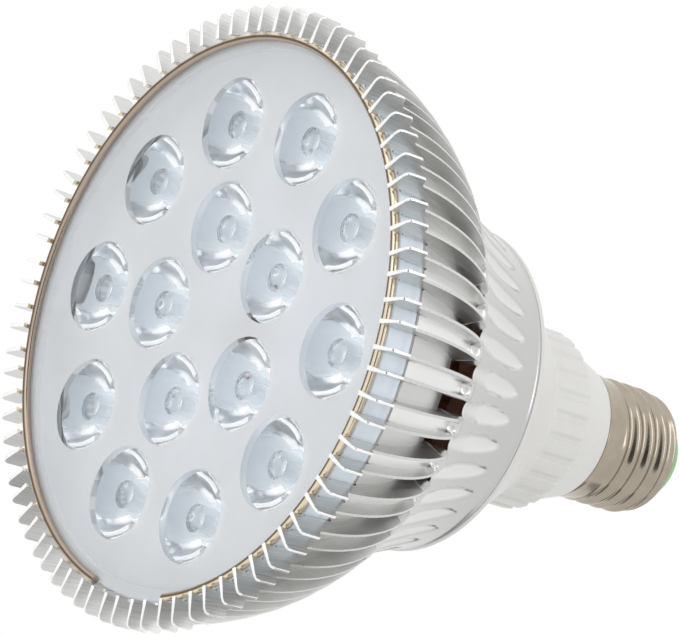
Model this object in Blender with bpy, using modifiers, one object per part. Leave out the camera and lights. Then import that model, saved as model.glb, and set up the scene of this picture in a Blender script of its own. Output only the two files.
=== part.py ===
"""LED flood lamp for an aquarium: finned aluminium body, lens plate with fifteen optics, screw cap.

Units are metres. The lamp stands on its face at z = 0, and +Z runs from the face to the cap.
Angles are in degrees from +X, counter-clockwise seen from the cap.
"""

import math

import bmesh
import bpy
from mathutils import Matrix, Vector

MM = 0.001

# General clearances
SEAT_GAP = 0.3 * MM
STACK_GAP = 0.2 * MM

# Heat sink: fins
FIN_PAIRS = 40
FIN_THICKNESS = 1.05 * MM
PAIR_INSIDE_ANGLE = 4.06
WIDE_SLOT_PHASE = 1.44
LAMP_RADIUS = 61.6 * MM
FRONT_EDGE_SETBACK = 0.7 * MM
FRONT_EDGE_RADIUS = LAMP_RADIUS - FRONT_EDGE_SETBACK
FRONT_EDGE_HEIGHT = 1.2 * MM
LAND_HEIGHT = 4.7 * MM
SHOULDER_STEP = 2.1 * MM
SHOULDER_RADIUS = LAMP_RADIUS - SHOULDER_STEP
SHOULDER_RISE = 0.7 * MM
SHOULDER_HEIGHT = LAND_HEIGHT + SHOULDER_RISE
NECK_ROOT_SHARE = 0.704545
NECK_ROOT_RADIUS = NECK_ROOT_SHARE * LAMP_RADIUS
FIN_TIP_STEP = 1.8 * MM
FIN_TIP_RADIUS = NECK_ROOT_RADIUS + FIN_TIP_STEP
FIN_TIP_HEIGHT = 34.7 * MM
FIN_BULGE = 2.85 * MM
FIN_ARC_PARTS = 4

# Heat sink: inside, front
FIN_FRONT_WIDTH = 5.6 * MM
BORE_RADIUS = LAMP_RADIUS - FIN_FRONT_WIDTH
RING_SEAT_DEPTH = 0.75 * MM
LEDGE_HEIGHT = 9.5 * MM
LEDGE_WIDTH = 4.8 * MM
OPTIC_CAVITY_RADIUS = BORE_RADIUS - LEDGE_WIDTH
CAVITY_TAPER = 2.4 * MM
BOARD_CAVITY_RADIUS = OPTIC_CAVITY_RADIUS - CAVITY_TAPER
DECK_HEIGHT = 16.9 * MM
DECK_THICKNESS = 5.5 * MM
WIRE_HOLE_RADIUS = 4.0 * MM
CAVITY_WALL = 1.0 * MM
DRIVER_CAVITY_RADIUS = NECK_ROOT_RADIUS - CAVITY_WALL

# Heat sink: slots between the fins
SLOT_FLOOR_STEP = 1.1 * MM
SLOT_FLOOR_RADIUS = BORE_RADIUS - SLOT_FLOOR_STEP
SLOT_FLOOR_BULGE = 1.6 * MM
DEEP_END_WALL = 0.5 * MM
DEEP_END_RADIUS = DRIVER_CAVITY_RADIUS + DEEP_END_WALL
WINDOW_LENGTH = 5.8 * MM
DEEP_END_HEIGHT = FIN_TIP_HEIGHT - WINDOW_LENGTH
DEEP_FLOOR_PARTS = 2
SHALLOW_END_STEP = 1.2 * MM
SHALLOW_END_RADIUS = FIN_TIP_RADIUS + SHALLOW_END_STEP
SHALLOW_FADE = 4.3 * MM
SHALLOW_END_HEIGHT = FIN_TIP_HEIGHT - SHALLOW_FADE
SHALLOW_FLOOR_PARTS = 2
RUN_OUT = 0.4 * MM

# Heat sink: neck and its flutes
NECK_ROOT_STEP = 0.6 * MM
NECK_ROOT_HEIGHT = FIN_TIP_HEIGHT + NECK_ROOT_STEP
NECK_SHARE = 0.538961
NECK_RADIUS = NECK_SHARE * LAMP_RADIUS
NECK_LENGTH = 23.1 * MM
NECK_HEIGHT = NECK_ROOT_HEIGHT + NECK_LENGTH
NECK_HOLLOW = 0.95 * MM
NECK_ARC_PARTS = 3
NECK_RIM_STEP = 0.1 * MM
NECK_RIM_RADIUS = NECK_RADIUS + NECK_RIM_STEP
NECK_RIM_LENGTH = 0.8 * MM
NECK_TOP = NECK_HEIGHT + NECK_RIM_LENGTH
FLUTE_ROOT_DEPTH = 0.5 * MM
FLUTE_DEPTH = 1.3 * MM
FLUTE_FLOOR_SHARE = 0.324
FLUTE_ROOT_TOP_SHARE = 0.396
FLUTE_TOP_SHARE = 0.8
FLUTE_CUT_HEIGHT = 2.2 * MM
CAVITY_END_STEP = 0.1 * MM
DRIVER_CAVITY_END = NECK_ROOT_HEIGHT - CAVITY_END_STEP
NECK_ROOT_WALL = 5.0 * MM
NECK_BORE_ROOT_RADIUS = NECK_ROOT_RADIUS - NECK_ROOT_WALL
NECK_WALL = 2.2 * MM
NECK_BORE_RADIUS = NECK_RADIUS - NECK_WALL
NECK_BORE_LENGTH = 9.4 * MM
NECK_BORE_HEIGHT = NECK_HEIGHT - NECK_BORE_LENGTH

# Snap ring
RING_BOTTOM = 1.0 * MM
RING_WIRE_RADIUS = 0.85 * MM
RING_MIDDLE_HEIGHT = RING_BOTTOM + RING_WIRE_RADIUS
RING_SEAT_TOP = RING_MIDDLE_HEIGHT + RING_WIRE_RADIUS + STACK_GAP
RING_GAP_CENTRE = 84.5
RING_GAP_ANGLE = 24.0
RING_PARTS = 36

# Lens plate and its optics
PLATE_EDGE_GAP = 0.4 * MM
PLATE_RADIUS = BORE_RADIUS - PLATE_EDGE_GAP
PLATE_FACE_HEIGHT = 3.9 * MM
PLATE_THICKNESS = 2.6 * MM
PLATE_LIP_WIDTH = 2.2 * MM
PLATE_SIDES = 40
OPTIC_COUNTS = (10, 5)
OPTIC_CIRCLE_SHARES = (0.7068, 0.3264)
OPTIC_CIRCLE_RADII = [share * PLATE_RADIUS for share in OPTIC_CIRCLE_SHARES]
OPTIC_PHASE = 249.7
WINDOW_SHARE = 0.1664
WINDOW_RADIUS = WINDOW_SHARE * PLATE_RADIUS
WINDOW_DEPTH = 0.35 * MM
WINDOW_SIDES = 14
CUP_TIP_RADIUS = 4.0 * MM
CUP_TIP_GAP = 0.4 * MM
CUP_SIDES = 8
LED_POCKET_RADIUS = 3.0 * MM
LED_POCKET_DEPTH = 2.3 * MM
LED_POCKET_SIDES = 6
SEAL_THICKNESS = 0.5 * MM
SEAL_WIDTH = 3.4 * MM
SEAL_SIDES = 28

# LED board
BOARD_THICKNESS = 1.6 * MM
BOARD_EDGE_GAP = 0.6 * MM
LED_SIZE = 3.2 * MM
LED_BASE_HEIGHT = 0.7 * MM
LED_DOME_RADIUS = 1.4 * MM
LED_DOME_HEIGHT = 1.0 * MM
SCREW_COUNT = 3
SCREW_CIRCLE_SHARE = 0.5216
SCREW_CIRCLE_RADIUS = SCREW_CIRCLE_SHARE * PLATE_RADIUS
SCREW_PHASE = 33.7
SCREW_RADIUS = 1.5 * MM
SCREW_HEAD_RADIUS = 2.8 * MM
SCREW_HEAD_HEIGHT = 1.8 * MM
SCREW_GRIP = 4.5 * MM
SCREW_SIDES = 8

# Screw cap: radii of the standard E27 shell
THREAD_CREST_RADIUS = 13.05 * MM
THREAD_DEPTH = 0.9 * MM
THREAD_ROOT_RADIUS = THREAD_CREST_RADIUS - THREAD_DEPTH
SKIRT_STEP = 0.05 * MM
SKIRT_RADIUS = THREAD_CREST_RADIUS + SKIRT_STEP
SHELL_RIM_STEP = 0.35 * MM
SHELL_RIM_RADIUS = THREAD_CREST_RADIUS + SHELL_RIM_STEP
SHELL_WALL = 0.7 * MM
SHELL_BORE_RADIUS = THREAD_ROOT_RADIUS - SHELL_WALL
SHELL_TOP_WALL = 0.15 * MM
SHELL_TOP_RADIUS = SHELL_BORE_RADIUS + SHELL_TOP_WALL
SHELL_LIP_WIDTH = 0.55 * MM
SHELL_LIP_RADIUS = SHELL_BORE_RADIUS - SHELL_LIP_WIDTH
THREAD_PITCH = 3.62 * MM
THREAD_ROWS_PER_TURN = 4
SHELL_SIDES = 18

# Collar
COLLAR_FLANGE_RADIUS = NECK_RADIUS
COLLAR_FLANGE_THICKNESS = 1.0 * MM
COLLAR_FLANGE_WIDTH = 1.0 * MM
COLLAR_CONE_RADIUS = COLLAR_FLANGE_RADIUS - COLLAR_FLANGE_WIDTH
NOSE_STEP = 0.4 * MM
NOSE_RADIUS = SHELL_RIM_RADIUS + NOSE_STEP
NOSE_TAPER = 3.3 * MM
NOSE_ROOT_RADIUS = NOSE_RADIUS + NOSE_TAPER
GRIP_STEP = 1.5 * MM
GRIP_RADIUS = NOSE_ROOT_RADIUS + GRIP_STEP
COLLAR_WAIST_STEP = 1.6 * MM
COLLAR_WAIST_RADIUS = GRIP_RADIUS + COLLAR_WAIST_STEP
COLLAR_SHOULDER_RISE = 1.6 * MM
COLLAR_INNER_SHOULDER = NECK_TOP + COLLAR_SHOULDER_RISE
COLLAR_CONE_LENGTH = 16.0 * MM
COLLAR_WAIST_HEIGHT = NECK_TOP + COLLAR_CONE_LENGTH
COLLAR_WAIST_WALL = 2.8 * MM
COLLAR_INNER_WAIST_RADIUS = COLLAR_WAIST_RADIUS - COLLAR_WAIST_WALL
WAIST_LENGTH = 1.8 * MM
GRIP_BOTTOM = COLLAR_WAIST_HEIGHT + WAIST_LENGTH
GRIP_LENGTH = 9.6 * MM
GRIP_TOP = GRIP_BOTTOM + GRIP_LENGTH
GRIP_PANELS = 26
GRIP_GROOVE_PHASE = 4.1
GRIP_GROOVE_WIDTH = 1.3 * MM
GRIP_GROOVE_DEPTH = 0.45 * MM
NOSE_LENGTH = 10.1 * MM
NOSE_TOP = GRIP_TOP + NOSE_LENGTH
CAP_NECK_GAP = 0.35 * MM
CAP_NECK_RADIUS = SHELL_BORE_RADIUS - CAP_NECK_GAP
CAP_NECK_LENGTH = 15.7 * MM
CAP_NECK_TOP = NOSE_TOP + CAP_NECK_LENGTH
CAP_NECK_WALL = 2.5 * MM
CAP_NECK_BORE = CAP_NECK_RADIUS - CAP_NECK_WALL
SPIGOT_LENGTH = 10.0 * MM
SPIGOT_WALL = 1.6 * MM
COLLAR_SIDES = 32

# Screw cap: heights, insulator and contact
SHELL_BOTTOM = NOSE_TOP + STACK_GAP
SKIRT_LENGTH = 4.7 * MM
SKIRT_TOP = SHELL_BOTTOM + SKIRT_LENGTH
FIRST_ROOT_RISE = 8.19 * MM
THREAD_ROOT_HEIGHT = SHELL_BOTTOM + FIRST_ROOT_RISE
SHELL_LENGTH = 20.4 * MM
SHELL_TOP = SHELL_BOTTOM + SHELL_LENGTH
THREAD_END_LENGTH = 1.4 * MM
THREAD_TOP = SHELL_TOP - THREAD_END_LENGTH
SHELL_LIP_THICKNESS = 0.6 * MM
INSULATOR_DEPTH = 3.3 * MM
INSULATOR_BOTTOM = SHELL_TOP - INSULATOR_DEPTH
INSULATOR_EDGE_RISE = 0.5 * MM
INSULATOR_EDGE_HEIGHT = SHELL_TOP + INSULATOR_EDGE_RISE
INSULATOR_RISE = 5.0 * MM
INSULATOR_TOP = SHELL_TOP + INSULATOR_RISE
INSULATOR_TOP_SHARE = 0.5413
INSULATOR_TOP_RADIUS = INSULATOR_TOP_SHARE * SHELL_LIP_RADIUS
CONTACT_SHARE = 0.78
CONTACT_RADIUS = CONTACT_SHARE * INSULATOR_TOP_RADIUS
CONTACT_RISE = 1.9 * MM
CONTACT_TOP = INSULATOR_TOP + CONTACT_RISE
CONTACT_EDGE = 0.6 * MM
CONTACT_STEM_RADIUS = 1.5 * MM
CONTACT_STEM_DEPTH = 6.3 * MM
CONTACT_STEM_BOTTOM = INSULATOR_TOP - CONTACT_STEM_DEPTH
CONTACT_SIDES = 12

# Driver
SLEEVE_WALL = 0.8 * MM
SLEEVE_FLOOR = 1.0 * MM
SLEEVE_SIDES = 20
DRIVER_BOARD_THICKNESS = 1.2 * MM
DRIVER_BOARD_Y = -3.0 * MM
DRIVER_BOARD_EDGE_GAP = 2.2 * MM
DRIVER_BOARD_HALF_WIDTH = (
    NECK_BORE_RADIUS - SEAT_GAP - SPIGOT_WALL - SEAT_GAP - SLEEVE_WALL - DRIVER_BOARD_EDGE_GAP)
DRIVER_BOARD_STEP_GAP = 1.8 * MM
DRIVER_BOARD_STEP = COLLAR_INNER_SHOULDER - DRIVER_BOARD_STEP_GAP
DRIVER_BOARD_SLIMMING = 0.1 * MM
DRIVER_BOARD_NECK_HALF_WIDTH = CAP_NECK_RADIUS - DRIVER_BOARD_SLIMMING
DRIVER_BOARD_TOP_GAP = 0.6 * MM
DRIVER_BOARD_TOP = GRIP_TOP - DRIVER_BOARD_TOP_GAP
BOARD_UNIT = DRIVER_BOARD_HALF_WIDTH / 26
CORE_SIZE = (18.0 * BOARD_UNIT, 14.0 * BOARD_UNIT, 16.0 * BOARD_UNIT)
CORE_LEG = 3.5 * BOARD_UNIT
CORE_MIDDLE_LEG = 5.0 * BOARD_UNIT
CAN_RADIUS = 5.0 * BOARD_UNIT
OUTPUT_CAN_LENGTH = 14.0 * BOARD_UNIT
INPUT_CAN_LENGTH = 13.0 * BOARD_UNIT
CHOKE_RADIUS = 4.5 * BOARD_UNIT
CHOKE_LENGTH = 7.0 * BOARD_UNIT
PART_SPACING = 3.5 * BOARD_UNIT
NECK_UNIT = DRIVER_BOARD_NECK_HALF_WIDTH / 11
FILM_SIZE = (13.0 * NECK_UNIT, 6.0 * NECK_UNIT, 9.0 * NECK_UNIT)
RECTIFIER_SIZE = (7.0 * NECK_UNIT, 2.5 * NECK_UNIT, 5.0 * NECK_UNIT)
FUSE_RADIUS = 2.2 * NECK_UNIT
FUSE_LENGTH = 7.0 * NECK_UNIT
NECK_SPACING = 3.5 * NECK_UNIT
CHIP_SIZE = (5.0 * BOARD_UNIT, 1.6 * BOARD_UNIT, 4.0 * BOARD_UNIT)
SWITCH_SIZE = (9.5 * BOARD_UNIT, 4.4 * BOARD_UNIT, 9.0 * BOARD_UNIT)
WIRE_RADIUS = 0.7 * MM
WIRE_SPREAD = 1.5 * MM
LED_PAD_RADIUS = 7.5 * MM
INPUT_WIRE_EDGE_GAP = 2.0 * MM
INPUT_WIRE_LENGTH = 3.0 * MM
LED_WIRE_LENGTH = 4.0 * MM


def point_on_circle(radius, degrees, height=0.0):
    """Point at a radius and an angle about the lamp's axis."""
    angle = math.radians(degrees)
    return Vector((radius * math.cos(angle), radius * math.sin(angle), height))


def arc_between(start, end, bulge, parts):
    """Points of a circular arc from start to end; the bulge is its height to the right of the chord."""
    start, end = Vector(start), Vector(end)
    chord = end - start
    side = Vector((chord.y, -chord.x)).normalized()
    radius = chord.length ** 2 / (8 * bulge) + bulge / 2
    centre = (start + end) / 2 + side * (bulge - radius)
    half_angle = math.asin(chord.length / (2 * radius))
    points = []
    for index in range(parts + 1):
        turn = Matrix.Rotation(half_angle * (2 * index / parts - 1), 2)
        points.append(tuple(centre + turn @ (side * radius)))
    return points


def surface_material(name, colour, roughness, metallic=0.0):
    """Principled material with one colour."""
    material = bpy.data.materials.new(name)
    material.use_nodes = True
    shader = material.node_tree.nodes["Principled BSDF"]
    shader.inputs["Base Color"].default_value = (*colour, 1.0)
    shader.inputs["Roughness"].default_value = roughness
    shader.inputs["Metallic"].default_value = metallic
    material.diffuse_color = (*colour, 1.0)
    return material


def object_from_bmesh(name, mesh_data, collection, material=None):
    """Turn a bmesh into an object of a collection."""
    mesh = bpy.data.meshes.new(name)
    mesh_data.normal_update()
    mesh_data.to_mesh(mesh)
    mesh_data.free()
    if material is not None:
        mesh.materials.append(material)
    result = bpy.data.objects.new(name, mesh)
    collection.objects.link(result)
    return result


def hide_cutter(cutter):
    """Show a cutter as a wire that no render takes."""
    cutter.display_type = "WIRE"
    cutter.hide_render = True


def smooth_round_faces(target, sharp_angle=35.0):
    """Shade a piece smooth but for its sharp edges."""
    target.data.shade_smooth()
    target.data.set_sharp_from_angle(angle=math.radians(sharp_angle))


def turned(name, profile, sides, collection, material=None, phase=0.0):
    """Body turned about the axis from a closed profile that runs down its outer side.

    A profile whose first and last points lie on the axis stays open there.
    """
    mesh = bpy.data.meshes.new(name)
    points = [(radius, 0.0, height) for radius, height in profile]
    edges = [(index, index + 1) for index in range(len(points) - 1)]
    on_axis = profile[0][0] == 0.0 and profile[-1][0] == 0.0
    if not on_axis:
        edges.append((len(points) - 1, 0))
    mesh.from_pydata(points, edges, [])
    if material is not None:
        mesh.materials.append(material)
    result = bpy.data.objects.new(name, mesh)
    collection.objects.link(result)
    result.rotation_euler.z = math.radians(phase)
    screw = result.modifiers.new("Turn", "SCREW")
    screw.axis = "Z"
    screw.steps = sides
    screw.render_steps = sides
    screw.use_merge_vertices = True
    screw.merge_threshold = 0.00001
    screw.use_smooth_shade = False
    return result


def cut(target, cutter, operation="DIFFERENCE"):
    """Cut a target with a cutter, or join the cutter to it."""
    boolean = target.modifiers.new(cutter.name, "BOOLEAN")
    boolean.operation = operation
    boolean.solver = "EXACT"
    boolean.object = cutter
    hide_cutter(cutter)


def add_cylinder(mesh_data, radius, bottom, top, sides, centre=(0.0, 0.0), top_radius=None, turn=0.0):
    """Add an upright cylinder or cone frustum to a bmesh and return its vertices."""
    place = Matrix.Translation((centre[0], centre[1], (bottom + top) / 2)) @ Matrix.Rotation(turn, 4, "Z")
    made = bmesh.ops.create_cone(
        mesh_data,
        cap_ends=True,
        segments=sides,
        radius1=radius,
        radius2=radius if top_radius is None else top_radius,
        depth=top - bottom,
        matrix=place,
    )
    return made["verts"]


def add_box(mesh_data, size, centre):
    """Add a box to a bmesh."""
    place = Matrix.Translation(centre) @ Matrix.Diagonal((*size, 1.0))
    bmesh.ops.create_cube(mesh_data, size=1.0, matrix=place)


def add_prism(mesh_data, outline, half_width, turn):
    """Add a prism on an outline of (radius, height) points, turned about the lamp's axis.

    half_width gives the prism's half width at a radius.
    """
    spin = Matrix.Rotation(math.radians(turn), 3, "Z")
    rims = []
    for side in (-1, 1):
        rims.append([
            mesh_data.verts.new(spin @ Vector((radius, side * half_width(radius), height)))
            for radius, height in outline
        ])
    mesh_data.faces.new(rims[0])
    mesh_data.faces.new(list(reversed(rims[1])))
    count = len(outline)
    for index in range(count):
        following = (index + 1) % count
        mesh_data.faces.new((rims[0][following], rims[0][index], rims[1][index], rims[1][following]))


def add_loft(mesh_data, sections, turn):
    """Add a closed body through sections of equal point counts, turned about the lamp's axis."""
    spin = Matrix.Rotation(math.radians(turn), 3, "Z")
    rings = [[mesh_data.verts.new(spin @ Vector(point)) for point in section] for section in sections]
    mesh_data.faces.new(list(reversed(rings[0])))
    mesh_data.faces.new(rings[-1])
    for lower, upper in zip(rings, rings[1:]):
        count = len(lower)
        for index in range(count):
            following = (index + 1) % count
            mesh_data.faces.new((lower[index], lower[following], upper[following], upper[index]))


def flat_outline(name, points, thickness, place, collection, material):
    """Flat piece with an outline in its own XY plane, filled and extruded to its thickness."""
    curve = bpy.data.curves.new(name, "CURVE")
    curve.dimensions = "2D"
    curve.fill_mode = "BOTH"
    curve.extrude = thickness / 2
    spline = curve.splines.new("POLY")
    spline.points.add(len(points) - 1)
    for target, (x, y) in zip(spline.points, points):
        target.co = (x, y, 0.0, 1.0)
    spline.use_cyclic_u = True
    curve.materials.append(material)
    result = bpy.data.objects.new(name, curve)
    collection.objects.link(result)
    result.matrix_world = place
    return result


def wire(name, route, radius, collection, material):
    """Round wire along the points of a route."""
    curve = bpy.data.curves.new(name, "CURVE")
    curve.dimensions = "3D"
    curve.bevel_depth = radius
    curve.bevel_resolution = 1
    curve.use_fill_caps = True
    spline = curve.splines.new("POLY")
    spline.points.add(len(route) - 1)
    for target, position in zip(spline.points, route):
        target.co = (*position, 1.0)
    curve.materials.append(material)
    result = bpy.data.objects.new(name, curve)
    collection.objects.link(result)
    return result


def pair_pitch():
    """Angle from one pair of fins to the next."""
    return 360.0 / FIN_PAIRS


def fin_corner_radius(radius):
    """Corner radius of the turned body whose flats pass through a radius at the fins."""
    return radius * math.cos(math.radians(PAIR_INSIDE_ANGLE / 2)) / math.cos(math.pi / FIN_PAIRS)


def neck_outline():
    """Outer outline of the neck, from the fins to its rear end."""
    root = (NECK_ROOT_RADIUS, NECK_ROOT_HEIGHT)
    end = (NECK_RADIUS, NECK_HEIGHT)
    return arc_between(root, end, -NECK_HOLLOW, NECK_ARC_PARTS)


def heat_sink_profile():
    """Closed profile of the heat sink before its slots are cut, down the outside and up the inside."""
    fin_outline = [
        (FRONT_EDGE_RADIUS, 0.0),
        (LAMP_RADIUS, FRONT_EDGE_HEIGHT),
        (LAMP_RADIUS, LAND_HEIGHT),
    ]
    shoulder = (SHOULDER_RADIUS, SHOULDER_HEIGHT)
    tip = (FIN_TIP_RADIUS, FIN_TIP_HEIGHT)
    fin_outline += arc_between(shoulder, tip, FIN_BULGE, FIN_ARC_PARTS)
    outer = fin_outline + neck_outline() + [(NECK_RIM_RADIUS, NECK_TOP)]
    deck_top = DECK_HEIGHT + DECK_THICKNESS
    inner = [
        (BORE_RADIUS, 0.0),
        (BORE_RADIUS + RING_SEAT_DEPTH, RING_SEAT_TOP),
        (BORE_RADIUS, RING_SEAT_TOP),
        (BORE_RADIUS, LEDGE_HEIGHT),
        (OPTIC_CAVITY_RADIUS, LEDGE_HEIGHT),
        (BOARD_CAVITY_RADIUS, DECK_HEIGHT),
        (WIRE_HOLE_RADIUS, DECK_HEIGHT),
        (WIRE_HOLE_RADIUS, deck_top),
        (DRIVER_CAVITY_RADIUS, deck_top),
        (DRIVER_CAVITY_RADIUS, DRIVER_CAVITY_END),
        (NECK_BORE_ROOT_RADIUS, DRIVER_CAVITY_END),
        (NECK_BORE_RADIUS, NECK_BORE_HEIGHT),
        (NECK_BORE_RADIUS, NECK_TOP),
    ]
    closed = list(reversed(outer)) + inner
    return [(fin_corner_radius(radius), height) for radius, height in closed]


def slot_half_width(gap_angle):
    """Half width at a radius of the slot between two upright fins, which stand gap_angle apart."""
    half_gap = math.radians(gap_angle / 2)

    def half_width(radius):
        return radius * math.tan(half_gap) - FIN_THICKNESS / (2 * math.cos(half_gap))

    return half_width


def slot_cutters(name, floor, gap_angle, phase, collection):
    """One cutter for each slot of a kind, whose floor is a list of (radius, height) points."""
    below = -1.0 * MM
    outside = LAMP_RADIUS + 2.0 * MM
    outline = [(outside, below), (outside, floor[-1][1]), *reversed(floor), (floor[0][0], below)]
    mesh_data = bmesh.new()
    for index in range(FIN_PAIRS):
        add_prism(mesh_data, outline, slot_half_width(gap_angle), phase + index * pair_pitch())
    bmesh.ops.recalc_face_normals(mesh_data, faces=mesh_data.faces)
    return object_from_bmesh(name, mesh_data, collection)


def flute_cutters(name, collection):
    """One tapering scoop for each wide slot, which carries the slot on along the neck."""
    sections = []
    half_pitch = math.pi * NECK_RADIUS / FIN_PAIRS
    half_root_pitch = math.pi * NECK_ROOT_RADIUS / FIN_PAIRS
    half_floor = FLUTE_FLOOR_SHARE * half_pitch
    outline = neck_outline()
    last = len(outline) - 1
    for index, (radius, height) in enumerate(outline):
        floor = radius - FLUTE_DEPTH * (1.0 - (index - 1) / (last - 1))
        half_top = FLUTE_TOP_SHARE * half_pitch
        if index == 0:
            floor = radius - FLUTE_ROOT_DEPTH
            height -= RUN_OUT
            half_top = FLUTE_ROOT_TOP_SHARE * half_root_pitch
        elif index == last:
            floor += RUN_OUT
        top = floor + FLUTE_CUT_HEIGHT
        sections.append([
            (floor, -half_floor, height),
            (top, -half_top, height),
            (top, half_top, height),
            (floor, half_floor, height),
        ])
    mesh_data = bmesh.new()
    for index in range(FIN_PAIRS):
        add_loft(mesh_data, sections, WIDE_SLOT_PHASE + index * pair_pitch())
    bmesh.ops.recalc_face_normals(mesh_data, faces=mesh_data.faces)
    return object_from_bmesh(name, mesh_data, collection)


def screw_places():
    """Centres of the LED board's screws."""
    step = 360.0 / SCREW_COUNT
    return [point_on_circle(SCREW_CIRCLE_RADIUS, SCREW_PHASE + index * step) for index in range(SCREW_COUNT)]


def screw_hole_cutters(name, bottom, top, collection):
    """Holes round the LED board's screws."""
    mesh_data = bmesh.new()
    for place in screw_places():
        add_cylinder(mesh_data, SCREW_RADIUS + SEAT_GAP, bottom, top, SCREW_SIDES, place.xy)
    return object_from_bmesh(name, mesh_data, collection)


def build_heat_sink(parts, cutters):
    """Cast aluminium body: eighty fins, fluted neck, ledge for the lens plate and deck for the board."""
    aluminium = surface_material("cast_aluminium", (0.80, 0.80, 0.79), 0.32, 1.0)
    sink = turned("heat_sink", heat_sink_profile(), FIN_PAIRS, parts, aluminium, WIDE_SLOT_PHASE)
    floor_start = (SLOT_FLOOR_RADIUS, LEDGE_HEIGHT)
    deep_end = (DEEP_END_RADIUS, DEEP_END_HEIGHT)
    deep_floor = arc_between(floor_start, deep_end, SLOT_FLOOR_BULGE, DEEP_FLOOR_PARTS)
    window_floor = DRIVER_CAVITY_RADIUS - 2 * RUN_OUT
    deep_floor.append((window_floor, DEEP_END_HEIGHT + RUN_OUT))
    deep_floor.append((window_floor, DRIVER_CAVITY_END - RUN_OUT / 2))
    shallow_end = (SHALLOW_END_RADIUS, SHALLOW_END_HEIGHT)
    shallow_floor = arc_between(floor_start, shallow_end, SLOT_FLOOR_BULGE, SHALLOW_FLOOR_PARTS)
    shallow_floor.append((FIN_TIP_RADIUS + RUN_OUT, FIN_TIP_HEIGHT))
    wide_angle = pair_pitch() - PAIR_INSIDE_ANGLE
    deep = slot_cutters("deep_slots", deep_floor, wide_angle, WIDE_SLOT_PHASE, cutters)
    narrow_phase = WIDE_SLOT_PHASE + pair_pitch() / 2
    shallow = slot_cutters("shallow_slots", shallow_floor, PAIR_INSIDE_ANGLE, narrow_phase, cutters)
    cut(sink, deep)
    cut(sink, shallow)
    cut(sink, flute_cutters("flutes", cutters))
    hole_end = DECK_HEIGHT + SCREW_GRIP
    cut(sink, screw_hole_cutters("deck_holes", DECK_HEIGHT - 1.0 * MM, hole_end, cutters))
    return sink


def build_snap_ring(parts):
    """Open spring ring of round wire that holds the lens plate in the fins' groove."""
    spring_bronze = surface_material("spring_bronze", (0.62, 0.50, 0.36), 0.3, 1.0)
    seat_radius = BORE_RADIUS + RING_SEAT_DEPTH * RING_MIDDLE_HEIGHT / RING_SEAT_TOP
    middle_radius = seat_radius - SEAT_GAP - RING_WIRE_RADIUS
    start = RING_GAP_CENTRE + RING_GAP_ANGLE / 2
    sweep = 360.0 - RING_GAP_ANGLE
    angles = [start + sweep * index / RING_PARTS for index in range(RING_PARTS + 1)]
    route = [point_on_circle(middle_radius, angle, RING_MIDDLE_HEIGHT) for angle in angles]
    return wire("snap_ring", route, RING_WIRE_RADIUS, parts, spring_bronze)


def optic_places():
    """Centres of the fifteen optics, outer circle first."""
    places = []
    for count, radius in zip(OPTIC_COUNTS, OPTIC_CIRCLE_RADII):
        places += [point_on_circle(radius, OPTIC_PHASE + 360.0 * index / count) for index in range(count)]
    return places


def plate_rear():
    """Height of the plate's rear edge, on the seal."""
    return LEDGE_HEIGHT - 2 * STACK_GAP - SEAL_THICKNESS


def cup_tip_height():
    """Height of the light cups' tips, just in front of the LED board."""
    return board_front() - CUP_TIP_GAP


def build_lens_plate(parts, cutters):
    """One clear moulding: plate with a lip and a rear rim, a round window and a light cup for each LED."""
    clear_acrylic = surface_material("clear_acrylic", (0.86, 0.90, 0.94), 0.08)
    face_back = PLATE_FACE_HEIGHT + PLATE_THICKNESS
    inner_radius = PLATE_RADIUS - PLATE_LIP_WIDTH
    blank = bmesh.new()
    add_cylinder(blank, PLATE_RADIUS, RING_SEAT_TOP, plate_rear(), PLATE_SIDES)
    plate = object_from_bmesh("lens_plate", blank, parts, clear_acrylic)
    recesses = bmesh.new()
    add_cylinder(recesses, inner_radius, RING_SEAT_TOP - 1.0 * MM, PLATE_FACE_HEIGHT, PLATE_SIDES)
    add_cylinder(recesses, inner_radius, face_back, plate_rear() + 1.0 * MM, PLATE_SIDES)
    cut(plate, object_from_bmesh("plate_recesses", recesses, cutters))
    cups = bmesh.new()
    windows = bmesh.new()
    pockets = bmesh.new()
    cup_root = face_back - PLATE_THICKNESS / 2
    window_floor = PLATE_FACE_HEIGHT + WINDOW_DEPTH
    for place in optic_places():
        centre = place.xy
        add_cylinder(cups, WINDOW_RADIUS, cup_root, cup_tip_height(), CUP_SIDES, centre, CUP_TIP_RADIUS)
        add_cylinder(windows, WINDOW_RADIUS, RING_SEAT_TOP, window_floor, WINDOW_SIDES, centre)
        pocket_floor = cup_tip_height() - LED_POCKET_DEPTH
        pocket_top = board_front()
        add_cylinder(pockets, LED_POCKET_RADIUS, pocket_floor, pocket_top, LED_POCKET_SIDES, centre)
    cut(plate, object_from_bmesh("optic_cups", cups, cutters), "UNION")
    cut(plate, object_from_bmesh("windows", windows, cutters))
    cut(plate, object_from_bmesh("led_pockets", pockets, cutters))
    return plate


def build_plate_seal(parts):
    """Flat rubber seal between the plate's rear rim and the ledge of the heat sink."""
    seal_rubber = surface_material("seal_rubber", (0.42, 0.42, 0.42), 0.7)
    top = LEDGE_HEIGHT - STACK_GAP
    bottom = top - SEAL_THICKNESS
    inner_radius = PLATE_RADIUS - SEAL_WIDTH
    profile = [(PLATE_RADIUS, top), (PLATE_RADIUS, bottom), (inner_radius, bottom), (inner_radius, top)]
    return turned("plate_seal", profile, SEAL_SIDES, parts, seal_rubber)


def board_front():
    """Height of the LED board's front face."""
    return DECK_HEIGHT - SEAT_GAP - BOARD_THICKNESS


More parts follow.
